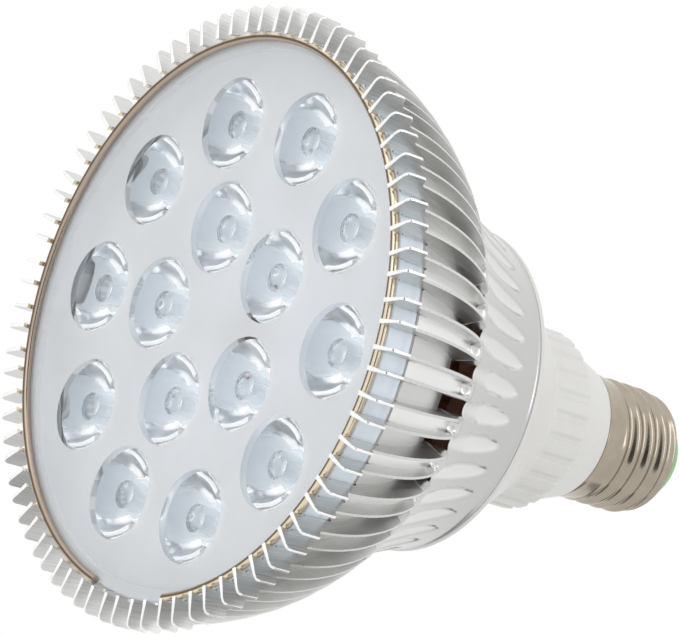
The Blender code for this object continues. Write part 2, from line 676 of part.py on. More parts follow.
def build_led_board(parts, cutters):
    """Round aluminium-core board that carries the LEDs on the deck."""
    white_solder_mask = surface_material("white_solder_mask", (0.86, 0.87, 0.86), 0.4)
    back = board_front() + BOARD_THICKNESS
    blank = bmesh.new()
    add_cylinder(blank, BOARD_CAVITY_RADIUS - BOARD_EDGE_GAP, board_front(), back, PLATE_SIDES)
    board = object_from_bmesh("led_board", blank, parts, white_solder_mask)
    low, high = board_front() - 1.0 * MM, back + 1.0 * MM
    cut(board, screw_hole_cutters("board_holes", low, high, cutters))
    middle = bmesh.new()
    add_cylinder(middle, WIRE_HOLE_RADIUS, low, high, SCREW_SIDES)
    cut(board, object_from_bmesh("board_wire_hole", middle, cutters))
    return board


def build_leds(parts, cutters):
    """One LED for each optic: a square ceramic base with a clear dome."""
    led_ceramic = surface_material("led_ceramic", (0.93, 0.84, 0.66), 0.35)
    seat = board_front() - SEAT_GAP
    base_front = seat - LED_BASE_HEIGHT
    for number, place in enumerate(optic_places(), start=1):
        base = bmesh.new()
        add_box(base, (LED_SIZE, LED_SIZE, LED_BASE_HEIGHT), (place.x, place.y, seat - LED_BASE_HEIGHT / 2))
        led = object_from_bmesh(f"led_{number:02d}", base, parts, led_ceramic)
        dome = bmesh.new()
        add_cylinder(
            dome, LED_DOME_RADIUS / 2, base_front - LED_DOME_HEIGHT, base_front + LED_BASE_HEIGHT / 2,
            LED_POCKET_SIDES, place.xy, LED_DOME_RADIUS)
        cut(led, object_from_bmesh(f"led_dome_{number:02d}", dome, cutters), "UNION")


def build_board_screws(parts):
    """Pan-head screws through the LED board into the deck."""
    plated_steel = surface_material("plated_steel", (0.70, 0.70, 0.68), 0.3, 1.0)
    head_seat = board_front() - SEAT_GAP
    head_front = head_seat - SCREW_HEAD_HEIGHT
    tip = DECK_HEIGHT + SCREW_GRIP - SEAT_GAP
    profile = [
        (0.0, tip),
        (SCREW_RADIUS, tip),
        (SCREW_RADIUS, head_seat),
        (SCREW_HEAD_RADIUS, head_seat),
        (SCREW_HEAD_RADIUS * 0.75, head_front),
        (0.0, head_front),
    ]
    for number, place in enumerate(screw_places(), start=1):
        screw = turned(f"board_screw_{number}", profile, SCREW_SIDES, parts, plated_steel)
        screw.location = place


def spigot_radius():
    """Outer radius of the collar's spigot in the neck."""
    return NECK_BORE_RADIUS - SEAT_GAP


def collar_profile():
    """Closed profile of the collar, down its outside and up its inside."""
    flange_bottom = NECK_TOP + STACK_GAP
    flange_top = flange_bottom + COLLAR_FLANGE_THICKNESS
    outer = [
        (CAP_NECK_RADIUS, CAP_NECK_TOP),
        (CAP_NECK_RADIUS, NOSE_TOP),
        (NOSE_RADIUS, NOSE_TOP),
        (NOSE_ROOT_RADIUS, GRIP_TOP + STACK_GAP),
        (GRIP_RADIUS, GRIP_TOP),
        (GRIP_RADIUS, GRIP_BOTTOM),
        (COLLAR_WAIST_RADIUS, COLLAR_WAIST_HEIGHT),
        (COLLAR_CONE_RADIUS, flange_top + STACK_GAP),
        (COLLAR_FLANGE_RADIUS, flange_top),
        (COLLAR_FLANGE_RADIUS, flange_bottom),
        (spigot_radius(), flange_bottom),
        (spigot_radius(), flange_bottom - SPIGOT_LENGTH),
    ]
    inner_radius = spigot_radius() - SPIGOT_WALL
    inner = [
        (inner_radius, flange_bottom - SPIGOT_LENGTH),
        (inner_radius, COLLAR_INNER_SHOULDER),
        (COLLAR_INNER_WAIST_RADIUS, COLLAR_WAIST_HEIGHT),
        (CAP_NECK_BORE, NOSE_TOP),
        (CAP_NECK_BORE, CAP_NECK_TOP),
    ]
    return outer + inner


def build_collar(parts, cutters):
    """White moulded collar: flange, cone, grooved grip, nose and the neck that carries the cap."""
    white_plastic = surface_material("white_plastic", (0.84, 0.83, 0.81), 0.45)
    collar = turned("collar", collar_profile(), COLLAR_SIDES, parts, white_plastic)
    grooves = bmesh.new()
    bottom = GRIP_BOTTOM + RUN_OUT
    top = GRIP_TOP + 1.0 * MM
    floor = GRIP_RADIUS - GRIP_GROOVE_DEPTH
    outside = GRIP_RADIUS + 1.0 * MM
    outline = [(outside, bottom), (outside, top), (floor, top), (floor, bottom)]
    for index in range(GRIP_PANELS):
        turn = GRIP_GROOVE_PHASE + 360.0 * index / GRIP_PANELS
        add_prism(grooves, outline, lambda radius: GRIP_GROOVE_WIDTH / 2, turn)
    bmesh.ops.recalc_face_normals(grooves, faces=grooves.faces)
    cut(collar, object_from_bmesh("grip_grooves", grooves, cutters))
    return collar


def thread_radius(angle, height):
    """Outer radius of the cap's right-hand round thread at an angle in radians and a height."""
    turns = (height - THREAD_ROOT_HEIGHT) / THREAD_PITCH - angle / (2 * math.pi)
    middle = (THREAD_CREST_RADIUS + THREAD_ROOT_RADIUS) / 2
    swing = (THREAD_CREST_RADIUS - THREAD_ROOT_RADIUS) / 2
    return middle - swing * math.cos(2 * math.pi * turns)


def build_cap_shell(parts):
    """Nickel-plated screw shell: plain skirt, rolled thread and a lip turned in over the insulator."""
    nickel = surface_material("nickel_plate", (0.66, 0.60, 0.52), 0.25, 1.0)
    row_step = THREAD_PITCH / THREAD_ROWS_PER_TURN
    thread_start = SKIRT_TOP + row_step
    rows = int((THREAD_TOP - thread_start) / row_step) + 1
    thread_heights = [thread_start + index * row_step for index in range(rows)]
    profile = [
        (SHELL_LIP_RADIUS, SHELL_TOP),
        (SHELL_TOP_RADIUS, SHELL_TOP),
        *[(THREAD_CREST_RADIUS, height) for height in reversed(thread_heights)],
        (SKIRT_RADIUS, SKIRT_TOP),
        (SHELL_RIM_RADIUS, SHELL_BOTTOM),
        (SHELL_BORE_RADIUS, SHELL_BOTTOM),
        (SHELL_BORE_RADIUS, SHELL_TOP - SHELL_LIP_THICKNESS),
        (SHELL_LIP_RADIUS, SHELL_TOP - SHELL_LIP_THICKNESS),
    ]
    blank = turned("cap_blank", profile, SHELL_SIDES, parts, nickel)
    graph = bpy.context.evaluated_depsgraph_get()
    mesh = bpy.data.meshes.new_from_object(blank.evaluated_get(graph))
    mesh.name = "cap_shell"
    bpy.data.objects.remove(blank)
    half_row = row_step / 2
    for vert in mesh.vertices:
        outer = vert.co.xy.length > (SHELL_BORE_RADIUS + THREAD_ROOT_RADIUS) / 2
        threaded = thread_heights[0] - half_row < vert.co.z < thread_heights[-1] + half_row
        if outer and threaded:
            angle = math.atan2(vert.co.y, vert.co.x)
            vert.co.xy = vert.co.xy.normalized() * thread_radius(angle, vert.co.z)
    shell = bpy.data.objects.new("cap_shell", mesh)
    parts.objects.link(shell)
    return shell


def build_insulator(parts):
    """Green glass insulator between the shell and the centre contact."""
    green_glass = surface_material("green_insulator", (0.30, 0.62, 0.32), 0.15)
    edge_radius = SHELL_LIP_RADIUS - SEAT_GAP
    hole_radius = CONTACT_STEM_RADIUS + SEAT_GAP
    profile = [
        (INSULATOR_TOP_RADIUS, INSULATOR_TOP),
        (edge_radius, INSULATOR_EDGE_HEIGHT),
        (edge_radius, INSULATOR_BOTTOM),
        (hole_radius, INSULATOR_BOTTOM),
        (hole_radius, INSULATOR_TOP),
    ]
    return turned("cap_insulator", profile, SHELL_SIDES, parts, green_glass)


def build_centre_contact(parts):
    """Riveted contact on the insulator's end."""
    tin = surface_material("tin_contact", (0.75, 0.73, 0.70), 0.3, 1.0)
    head_bottom = INSULATOR_TOP + SEAT_GAP
    profile = [
        (0.0, CONTACT_TOP),
        (CONTACT_RADIUS - CONTACT_EDGE, CONTACT_TOP),
        (CONTACT_RADIUS, CONTACT_TOP - CONTACT_EDGE),
        (CONTACT_RADIUS, head_bottom),
        (CONTACT_STEM_RADIUS, head_bottom),
        (CONTACT_STEM_RADIUS, CONTACT_STEM_BOTTOM),
        (0.0, CONTACT_STEM_BOTTOM),
    ]
    return turned("centre_contact", profile, CONTACT_SIDES, parts, tin)


def sleeve_radius():
    """Outer radius of the driver sleeve, inside the collar's spigot."""
    return spigot_radius() - SPIGOT_WALL - SEAT_GAP


def sleeve_floor_top():
    """Height of the sleeve's floor, which stands on the deck."""
    return DECK_HEIGHT + DECK_THICKNESS + SEAT_GAP + SLEEVE_FLOOR


def build_driver_sleeve(parts):
    """Insulating cup round the driver, open to the cap, with a hole for the LED wires."""
    brown_board = surface_material("brown_fibre", (0.16, 0.09, 0.045), 0.6)
    top = COLLAR_INNER_SHOULDER - SEAT_GAP
    bottom = sleeve_floor_top() - SLEEVE_FLOOR
    inner_radius = sleeve_radius() - SLEEVE_WALL
    profile = [
        (sleeve_radius(), top),
        (sleeve_radius(), bottom),
        (WIRE_HOLE_RADIUS, bottom),
        (WIRE_HOLE_RADIUS, sleeve_floor_top()),
        (inner_radius, sleeve_floor_top()),
        (inner_radius, top),
    ]
    return turned("driver_sleeve", profile, SLEEVE_SIDES, parts, brown_board)


def driver_board_bottom():
    """Height of the driver board's lower edge, which stands on the sleeve's floor."""
    return sleeve_floor_top() + SEAT_GAP


def build_driver_board(parts):
    """Driver circuit board, upright in the sleeve, with a narrow end that reaches into the grip."""
    phenolic_board = surface_material("phenolic_board", (0.45, 0.26, 0.10), 0.5)
    wide, slim = DRIVER_BOARD_HALF_WIDTH, DRIVER_BOARD_NECK_HALF_WIDTH
    bottom, step, top = driver_board_bottom(), DRIVER_BOARD_STEP, DRIVER_BOARD_TOP
    outline = [
        (-wide, bottom), (wide, bottom), (wide, step), (slim, step),
        (slim, top), (-slim, top), (-slim, step), (-wide, step),
    ]
    upright = Matrix.Translation((0.0, DRIVER_BOARD_Y, 0.0)) @ Matrix.Rotation(math.pi / 2, 4, "X")
    return flat_outline("driver_board", outline, DRIVER_BOARD_THICKNESS, upright, parts, phenolic_board)


def component_side():
    """Y of the plane on which the driver's large components stand."""
    return DRIVER_BOARD_Y + DRIVER_BOARD_THICKNESS / 2 + SEAT_GAP


def solder_side():
    """Y of the plane on which the driver's flat components lie."""
    return DRIVER_BOARD_Y - DRIVER_BOARD_THICKNESS / 2 - SEAT_GAP


def build_block(name, size, x, z, material, parts, front=True):
    """Box-shaped component of (width, depth, height) on one side of the driver board."""
    y = component_side() + size[1] / 2 if front else solder_side() - size[1] / 2
    block = bmesh.new()
    add_box(block, size, (x, y, z))
    return object_from_bmesh(name, block, parts, material)


def build_can(name, radius, length, x, z, material, parts, sides=12):
    """Round component that stands on the driver board."""
    can = bmesh.new()
    add_cylinder(can, radius, 0.0, length, sides)
    upright = Matrix.Translation((x, component_side(), z)) @ Matrix.Rotation(-math.pi / 2, 4, "X")
    bmesh.ops.transform(can, matrix=upright, verts=can.verts)
    return object_from_bmesh(name, can, parts, material)


def transformer_place():
    """X and height of the transformer's middle."""
    can_top = driver_board_bottom() + PART_SPACING + 2 * CAN_RADIUS
    return -CORE_MIDDLE_LEG, can_top + CORE_SIZE[2] / 2


def build_transformer(parts, cutters):
    """Ferrite core of two E halves closed round a wound bobbin."""
    ferrite = surface_material("ferrite", (0.10, 0.10, 0.11), 0.6)
    yellow_tape = surface_material("yellow_tape", (0.80, 0.62, 0.12), 0.4)
    x, z = transformer_place()
    core_width, core_depth, core_height = CORE_SIZE
    window_height = core_height - 2 * CORE_LEG
    core = build_block("transformer_core", CORE_SIZE, x, z, ferrite, parts)
    y = component_side() + core_depth / 2
    window_width = (core_width - 2 * CORE_LEG - CORE_MIDDLE_LEG) / 2
    windows = bmesh.new()
    for side in (-1, 1):
        centre_x = x + side * (CORE_MIDDLE_LEG + window_width) / 2
        add_box(windows, (window_width, core_depth * 2, window_height), (centre_x, y, z))
    cut(core, object_from_bmesh("core_windows", windows, cutters))
    slots = bmesh.new()
    slot_depth = (core_depth - CORE_MIDDLE_LEG) / 2
    for side in (-1, 1):
        centre_y = y + side * (core_depth - slot_depth + 1.0 * MM) / 2
        size = (CORE_MIDDLE_LEG + 2 * RUN_OUT, slot_depth + 1.0 * MM, window_height)
        add_box(slots, size, (x, centre_y, z))
    cut(core, object_from_bmesh("core_coil_slots", slots, cutters))
    coil_height = window_height - 2 * SEAT_GAP
    coil_width = core_width - 2 * CORE_LEG - 2 * SEAT_GAP
    coil_size = (coil_width, core_depth - 2 * SEAT_GAP, coil_height)
    coil = build_block("transformer_winding", coil_size, x, z, yellow_tape, parts)
    bore = bmesh.new()
    bore_side = CORE_MIDDLE_LEG + 2 * SEAT_GAP
    coil_y = component_side() + coil_size[1] / 2
    add_box(bore, (bore_side, bore_side, coil_height * 2), (x, coil_y, z))
    cut(coil, object_from_bmesh("winding_bore", bore, cutters))
    return core


def build_components(parts):
    """The driver's other components, from the LED end of the board to the cap end."""
    black_sleeve = surface_material("capacitor_sleeve", (0.05, 0.05, 0.07), 0.35)
    yellow_film = surface_material("film_yellow", (0.78, 0.60, 0.15), 0.4)
    black_resin = surface_material("black_resin", (0.04, 0.04, 0.04), 0.5)
    copper = surface_material("copper_wire", (0.70, 0.36, 0.18), 0.35, 1.0)
    beige = surface_material("resistor_beige", (0.75, 0.68, 0.52), 0.5)
    transformer_x, transformer_z = transformer_place()
    can_height = driver_board_bottom() + CAN_RADIUS + PART_SPACING / 2
    right = DRIVER_BOARD_HALF_WIDTH - CAN_RADIUS - 2 * PART_SPACING
    left = -right
    build_can("output_capacitor", CAN_RADIUS, OUTPUT_CAN_LENGTH, right, can_height, black_sleeve, parts)
    build_can("input_capacitor", CAN_RADIUS, INPUT_CAN_LENGTH, left, can_height, black_sleeve, parts)
    build_can("output_choke", CHOKE_RADIUS, CHOKE_LENGTH, right, transformer_z, copper, parts)
    film_height = DRIVER_BOARD_STEP + NECK_SPACING + FILM_SIZE[2] / 2
    build_block("film_capacitor", FILM_SIZE, 0.0, film_height, yellow_film, parts)
    rectifier_height = film_height + FILM_SIZE[2] / 2 + NECK_SPACING + RECTIFIER_SIZE[2] / 2
    build_block("rectifier", RECTIFIER_SIZE, RECTIFIER_SIZE[0] / 2, rectifier_height, black_resin, parts)
    build_can("fuse_resistor", FUSE_RADIUS, FUSE_LENGTH, -NECK_SPACING, rectifier_height, beige, parts, 8)
    chip_x = CHIP_SIZE[0] + PART_SPACING
    build_block("controller_chip", CHIP_SIZE, chip_x, transformer_z, black_resin, parts, False)
    build_block("power_switch", SWITCH_SIZE, -SWITCH_SIZE[0], transformer_z, black_resin, parts, False)


def build_wires(parts):
    """Two wires from the driver to the LED board and two from the driver to the cap."""
    red = surface_material("wire_red", (0.55, 0.04, 0.03), 0.45)
    black = surface_material("wire_black", (0.03, 0.03, 0.03), 0.45)
    front = board_front() - SEAT_GAP - WIRE_RADIUS
    board_end = driver_board_bottom() + LED_WIRE_LENGTH
    y = component_side() + WIRE_RADIUS
    for name, side, colour in (("led_wire_positive", 1, red), ("led_wire_negative", -1, black)):
        x = side * WIRE_SPREAD
        route = [
            (side * LED_PAD_RADIUS, 0.0, front),
            (x, 0.0, front),
            (x, 0.0, DECK_HEIGHT + DECK_THICKNESS),
            (x, y, driver_board_bottom()),
            (x, y, board_end),
        ]
        wire(name, route, WIRE_RADIUS, parts, colour)
    start_height = DRIVER_BOARD_TOP - INPUT_WIRE_LENGTH
    wire_side = DRIVER_BOARD_NECK_HALF_WIDTH - INPUT_WIRE_EDGE_GAP
    bore_side = CAP_NECK_BORE - SEAT_GAP - WIRE_RADIUS
    fold_height = (CAP_NECK_TOP + INSULATOR_BOTTOM) / 2
    shell_side = SHELL_BORE_RADIUS - SEAT_GAP
    live_route = [
        (wire_side, y, start_height),
        (wire_side, y, DRIVER_BOARD_TOP),
        (0.0, 0.0, NOSE_TOP),
        (0.0, 0.0, CONTACT_STEM_BOTTOM - SEAT_GAP),
    ]
    wire("cap_wire_live", live_route, WIRE_RADIUS, parts, red)
    neutral_route = [
        (-wire_side, y, start_height),
        (-wire_side, y, DRIVER_BOARD_TOP),
        (-bore_side, 0.0, NOSE_TOP),
        (-bore_side, 0.0, fold_height),
        (-shell_side, 0.0, fold_height),
    ]
    wire("cap_wire_neutral", neutral_route, WIRE_RADIUS, parts, black)


def clear_scene():
    """Remove every object that is in the file."""
    for existing in list(bpy.data.objects):
        bpy.data.objects.remove(existing)


def shade_pieces(parts):
    """Shade the turned and moulded pieces smooth."""
    for piece in parts.objects:
        if piece.type == "MESH":
            smooth_round_faces(piece)


def main():
    """Build the lamp."""
    clear_scene()
    parts = bpy.data.collections.new("aquarium_led_bulb")
    cutters = bpy.data.collections.new("cutters")
    bpy.context.scene.collection.children.link(parts)
    bpy.context.scene.collection.children.link(cutters)
    build_heat_sink(parts, cutters)
    build_snap_ring(parts)
    build_lens_plate(parts, cutters)
    build_plate_seal(parts)
    build_led_board(parts, cutters)
    build_leds(parts, cutters)
    build_board_screws(parts)
    build_collar(parts, cutters)
    build_cap_shell(parts)
    build_insulator(parts)
    build_centre_contact(parts)
    build_driver_sleeve(parts)
    build_driver_board(parts)
    build_transformer(parts, cutters)
    build_components(parts)
    build_wires(parts)
    shade_pieces(parts)


main()
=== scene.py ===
"""Looks of the aquarium flood lamp: fine meshes, surfaces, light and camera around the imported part.

Lengths are in millimetres up to the meshes, which are in metres. The lamp stands on its face at z = 0, and +Z
runs from the face to the cap. Angles are in degrees from +X, counter-clockwise seen from the cap.
"""

import math

import bmesh
import bpy
from mathutils import Matrix, Vector

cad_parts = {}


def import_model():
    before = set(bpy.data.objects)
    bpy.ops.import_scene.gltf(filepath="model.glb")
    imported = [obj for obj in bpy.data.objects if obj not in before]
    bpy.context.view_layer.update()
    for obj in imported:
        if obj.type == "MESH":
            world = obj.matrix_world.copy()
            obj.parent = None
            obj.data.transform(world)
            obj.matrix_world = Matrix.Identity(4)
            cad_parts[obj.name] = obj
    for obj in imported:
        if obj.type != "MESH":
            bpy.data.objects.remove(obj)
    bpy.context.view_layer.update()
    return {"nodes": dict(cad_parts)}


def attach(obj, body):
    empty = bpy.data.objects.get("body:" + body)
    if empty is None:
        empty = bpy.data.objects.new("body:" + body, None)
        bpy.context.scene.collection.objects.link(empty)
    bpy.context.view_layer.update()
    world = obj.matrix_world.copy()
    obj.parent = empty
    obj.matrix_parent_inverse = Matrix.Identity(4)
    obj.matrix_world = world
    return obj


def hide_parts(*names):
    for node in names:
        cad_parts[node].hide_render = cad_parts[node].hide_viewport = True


MM = 0.001

# Fins; an outline is made of (radius, height), and the draft and the streaks run about FIN_CENTRE
PAIRS = 40
PITCH = 360.0 / PAIRS
WIDE_PHASE = 1.44
INSIDE_ANGLE = 4.06
LAMP_RADIUS = 61.6
FRONT_RADIUS = 60.5
FRONT_ROUND_HEIGHT = 1.5
LAND_HEIGHT = 4.7
SHOULDER = (59.5, 5.4)
FIN_TIP = (45.2, 34.5)
FIN_BULGE = 2.85
FIN_END = 33.2
FIN_INSIDE = 42.5
FIN_EDGE_ROUND = 0.12
FIN_STREAK_RADIUS = 48.0
FIN_CENTRE = (11.8, 0.2)
FIN_ROOT_HALF = 0.525
FIN_FRONT_HALF = 0.46
FIN_RIM_HALF = 0.29
FRONT_EDGE_HEIGHT = 2.0
FRONT_DRAFT_START = 45.0
FRONT_DRAFT_LENGTH = 3.5
DRAFT_START = 43.5
DRAFT_LENGTH = 4.0
BORE_RADIUS = 56.0
GROOVE_RADIUS = 56.75
GROOVE_TOP = 2.9

# Finger ends, where the narrow slots run out
FINGER_HALF = 2.05
FINGER_CORNER = 1.7
FINGER_EDGE = 0.3
FINGER_START = 29.8
FINGER_END = 35.1
FINGER_FOOT = 42.6
FINGER_ROUND = 1.0
FINGER_FALL = 0.6
FINGER_SINK = 0.05
RUN_OUT_START = 30.0
RUN_OUT_LENGTH = 2.8
RUN_OUT_SLOPE = 0.35
SLOT_HALF = 0.75
SLOT_FLANK = 0.5

# Cup wall and deck
LEDGE_HEIGHT = 9.5
FLOOR_START = (54.9, 9.75)
FLOOR_BULGE = 1.6
DEEP_END = (42.95, 28.9)
SHALLOW_END = (46.4, 30.4)
CAVITY_RADIUS = 42.4
DECK_FRONT = 16.9
DECK_REAR = 22.4
DECK_HOLE = 4.0
COLUMNS_IN_PAIR = 6
NARROW_COLUMNS = (3, 4)

# Neck and flutes; a flute's lengths hold at the fins, and gain within a third of the neck
NECK_FOOT = (43.45, 34.98)
NECK_ROOT = (43.4, 35.3)
NECK_END = (33.2, 58.4)
NECK_HOLLOW = 0.95
NECK_STEPS = 16
NECK_INSIDE = 31.8
FLUTE_END = 0.80
FLUTE_GROWTH = 3.0
FLUTE_HALF = 1.45
FLUTE_HALF_GAIN = 0.75
FLUTE_DEPTH = 0.55
FLUTE_DEPTH_GAIN = 0.75
FLUTE_ROUNDNESS = 0.8

# Snap ring
WIRE_RADIUS = 0.85
RING_RADIUS = 55.33
RING_HEIGHT = 1.85
RING_START = 96.5
RING_SWEEP = 336.0
RING_STEPS = 240
WIRE_SIDES = 20

# Lens plate and LEDs
OPTICS_START = 249.7
OUTER_OPTICS_RADIUS = 39.3
INNER_OPTICS_RADIUS = 18.15
PLATE_RADIUS = 55.6
PLATE_INNER = PLATE_RADIUS - 2.2
PLATE_LIP = 2.9
PLATE_REAR = 8.6
FACE_HEIGHT = 3.9
FACE_BACK = 6.5
WINDOW_RADIUS = 9.25
WINDOW_FLOOR = 4.05
CUP_RADIUS = WINDOW_RADIUS - 0.15
CUP_TIP_RADIUS = 4.0
CUP_TIP = 14.6
CUP_BOW = 0.45
CUP_STEPS = 8
PLATE_SKINS = ("clear", "frosted", "rim_clear", "window", "cup")
LED_WIDTH = 3.2
LED_THICKNESS = 0.65
LED_MIDDLE = 14.66
LED_FRONT = 14.3
DOME_RADIUS = 1.4
DOME_HEIGHT = 1.0
DOME_STEPS = 8

# Grip of the collar
GRIP_PANELS = 26
GRIP_PHASE = 4.1
PANEL_STEPS = 16
GRIP_STEPS = 10
GRIP_RADIUS = 17.0
GRIP_LOW = 77.2
GRIP_HIGH = 87.2
GRIP_RISE = 1.2
GRIP_DEPTH = 0.42
GRIP_CUT_HALF = 0.65
GRIP_CUT_FLANK = 0.25

# Thread of the cap
THREAD_PITCH = 3.62
THREAD_PHASE = 104.09
THREAD_RADIUS = 12.6
THREAD_WAVE = 0.43
THREAD_START = 101.9
THREAD_RUN_IN = 1.2
THREAD_END = 117.2
THREAD_RUN_OUT = 1.0
PLAIN_EXTRA = 0.2
SHELL_FALL_START = 113.5
SHELL_FALL = 0.2

# Camera of the photograph: its turn is a rotation vector from the lamp's frame to the camera's
FOCAL_PIXELS = 4905.7247
IMAGE_WIDTH = 679
SENSOR_WIDTH = 36.0
CAMERA_TURN = Vector((-0.14212023404685026, 0.9114174631893286, 0.3001815270666506))
CAMERA_SHIFT = Vector((-27.48544522395942, -1.0457654409838983, 936.5838819997002))

# World and floor
WORLD_LIGHT = 0.85
REFLECTED_BELOW = 0.92
REFLECTED_ABOVE = 1.08
FLOOR_HALF = 1500.0
FLOOR_DROP = 0.2


def polar(radius, degrees, height=0.0):
    """Point at a radius and an angle about the lamp's axis."""
    angle = math.radians(degrees)
    return Vector((radius * math.cos(angle), radius * math.sin(angle), height))


def arc_between(start, end, bulge, parts):
    """Points of a circular arc from start to end; the bulge is its height to the right of the chord."""
    start, end = Vector(start), Vector(end)
    chord = end - start
    side = Vector((chord.y, -chord.x)).normalized()
    radius = chord.length ** 2 / (8 * bulge) + bulge / 2
    centre = (start + end) / 2 + side * (bulge - radius)
    half_angle = math.asin(chord.length / (2 * radius))
    points = []
    for index in range(parts + 1):
        turn = Matrix.Rotation(half_angle * (2 * index / parts - 1), 2)
        points.append(tuple(centre + turn @ (side * radius)))
    return points


def rounded(corner, before, after, size, parts=4):
    """Points that round a corner of a profile between its neighbours."""
    corner, before, after = Vector(corner), Vector(before), Vector(after)
    start = corner + (before - corner).normalized() * size
    end = corner + (after - corner).normalized() * size
    points = []
    for index in range(parts + 1):
        t = index / parts
        points.append(tuple(start * (1 - t) ** 2 + corner * (2 * t * (1 - t)) + end * t ** 2))
    return points


def soften(profile, sizes):
    """Closed profile with the corners named in sizes rounded."""
    points = []
    count = len(profile)
    for index, point in enumerate(profile):
        if index in sizes:
            points += rounded(point, profile[index - 1], profile[(index + 1) % count], sizes[index])
        else:
            points.append(point)
    return points


def share_past(value, start, length):
    """Share from 0 to 1 of a length that a value lies past its start."""
    return min(max((value - start) / length, 0.0), 1.0)


def plain_object(name, mesh_data):
    """Turn a bmesh in millimetres into an object in metres."""
    bmesh.ops.recalc_face_normals(mesh_data, faces=mesh_data.faces)
    bmesh.ops.scale(mesh_data, vec=(MM, MM, MM), verts=mesh_data.verts)
    mesh = bpy.data.meshes.new(name)
    mesh_data.to_mesh(mesh)
    mesh_data.free()
    piece = bpy.data.objects.new(name, mesh)
    bpy.context.scene.collection.objects.link(piece)
    return piece


def finish_mesh(name, mesh_data, materials, sharp=40.0):
    """Turn a bmesh in millimetres into a smooth-shaded object in metres."""
    piece = plain_object(name, mesh_data)
    for material in materials:
        piece.data.materials.append(material)
    piece.data.shade_smooth()
    piece.data.set_sharp_from_angle(angle=math.radians(sharp))
    return piece


def grid_of_columns(mesh_data, columns):
    """Close a body round the axis from columns of equal point counts; each column is a closed loop."""
    rings = [[mesh_data.verts.new(point) for point in column] for column in columns]
    count = len(rings[0])
    for index, ring in enumerate(rings):
        following = rings[(index + 1) % len(rings)]
        for row in range(count):
            above = (row + 1) % count
            mesh_data.faces.new((ring[row], following[row], following[above], ring[above]))


def turned(name, profile, steps, materials, sharp=40.0, radius_at=None):
    """Body turned about the axis from a closed profile of (radius, height); radius_at may move a point."""
    mesh_data = bmesh.new()
    columns = []
    for step in range(steps):
        angle = 360.0 * step / steps
        column = []
        for row, (radius, height) in enumerate(profile):
            if radius_at is not None:
                radius = radius_at(row, radius, height, angle)
            column.append(polar(radius, angle, height))
        columns.append(column)
    grid_of_columns(mesh_data, columns)
    return finish_mesh(name, mesh_data, materials, sharp)


# Surfaces


def shader_of(material):
    """The Principled shader of a material."""
    return material.node_tree.nodes["Principled BSDF"]


def surface(name, colour, roughness, metallic=0.0, **sockets):
    """Principled material; sockets names further inputs with underscores for spaces."""
    material = bpy.data.materials.new(name)
    material.use_nodes = True
    shader = shader_of(material)
    shader.inputs["Base Color"].default_value = (*colour, 1.0)
    shader.inputs["Roughness"].default_value = roughness
    shader.inputs["Metallic"].default_value = metallic
    for socket, value in sockets.items():
        shader.inputs[socket.replace("_", " ")].default_value = value
    return material


def noise_node(material, scale, stretch=(1.0, 1.0, 1.0), source="Object", detail=3.0):
    """Noise texture on object or UV coordinates, stretched by a factor on each axis."""
    nodes, links = material.node_tree.nodes, material.node_tree.links
    coordinates = nodes.new("ShaderNodeTexCoord")
    mapping = nodes.new("ShaderNodeMapping")
    mapping.inputs["Scale"].default_value = stretch
    links.new(coordinates.outputs[source], mapping.inputs["Vector"])
    texture = nodes.new("ShaderNodeTexNoise")
    texture.inputs["Scale"].default_value = scale
    texture.inputs["Detail"].default_value = detail
    links.new(mapping.outputs["Vector"], texture.inputs["Vector"])
    return texture


def vary_colour(material, texture, dark, light):
    """Let a texture run the base colour from dark to light."""
    nodes, links = material.node_tree.nodes, material.node_tree.links
    ramp = nodes.new("ShaderNodeValToRGB")
    ramp.color_ramp.elements[0].position = 0.35
    ramp.color_ramp.elements[0].color = (*dark, 1.0)
    ramp.color_ramp.elements[1].position = 0.65
    ramp.color_ramp.elements[1].color = (*light, 1.0)
    links.new(texture.outputs["Fac"], ramp.inputs["Fac"])
    links.new(ramp.outputs["Color"], shader_of(material).inputs["Base Color"])


def vary_roughness(material, texture, low, high):
    """Let a texture run the roughness from low to high."""
    nodes, links = material.node_tree.nodes, material.node_tree.links
    spread = nodes.new("ShaderNodeMapRange")
    spread.inputs["From Min"].default_value = 0.3
    spread.inputs["From Max"].default_value = 0.7
    spread.inputs["To Min"].default_value = low
    spread.inputs["To Max"].default_value = high
    links.new(texture.outputs["Fac"], spread.inputs["Value"])
    links.new(spread.outputs["Result"], shader_of(material).inputs["Roughness"])


def shade_along_map(material, stops):
    """Run the base colour through stops of (place, colour) along the UV map's first axis."""
    nodes, links = material.node_tree.nodes, material.node_tree.links
    coordinates = nodes.new("ShaderNodeTexCoord")
    parts = nodes.new("ShaderNodeSeparateXYZ")
    links.new(coordinates.outputs["UV"], parts.inputs["Vector"])
    ramp = nodes.new("ShaderNodeValToRGB")
    elements = ramp.color_ramp.elements
    for place, colour in stops[1:-1]:
        elements.new(place).color = (*colour, 1.0)
    elements[0].color = (*stops[0][1], 1.0)
    elements[-1].color = (*stops[-1][1], 1.0)
    links.new(parts.outputs["X"], ramp.inputs["Fac"])
    links.new(ramp.outputs["Color"], shader_of(material).inputs["Base Color"])


def add_bump(material, texture, depth_mm, strength=1.0):
    """Let a texture raise the surface by a depth."""
    nodes, links = material.node_tree.nodes, material.node_tree.links
    bump = nodes.new("ShaderNodeBump")
    bump.inputs["Strength"].default_value = strength
    bump.inputs["Distance"].default_value = depth_mm * MM
    links.new(texture.outputs["Fac"], bump.inputs["Height"])
    links.new(bump.outputs["Normal"], shader_of(material).inputs["Normal"])


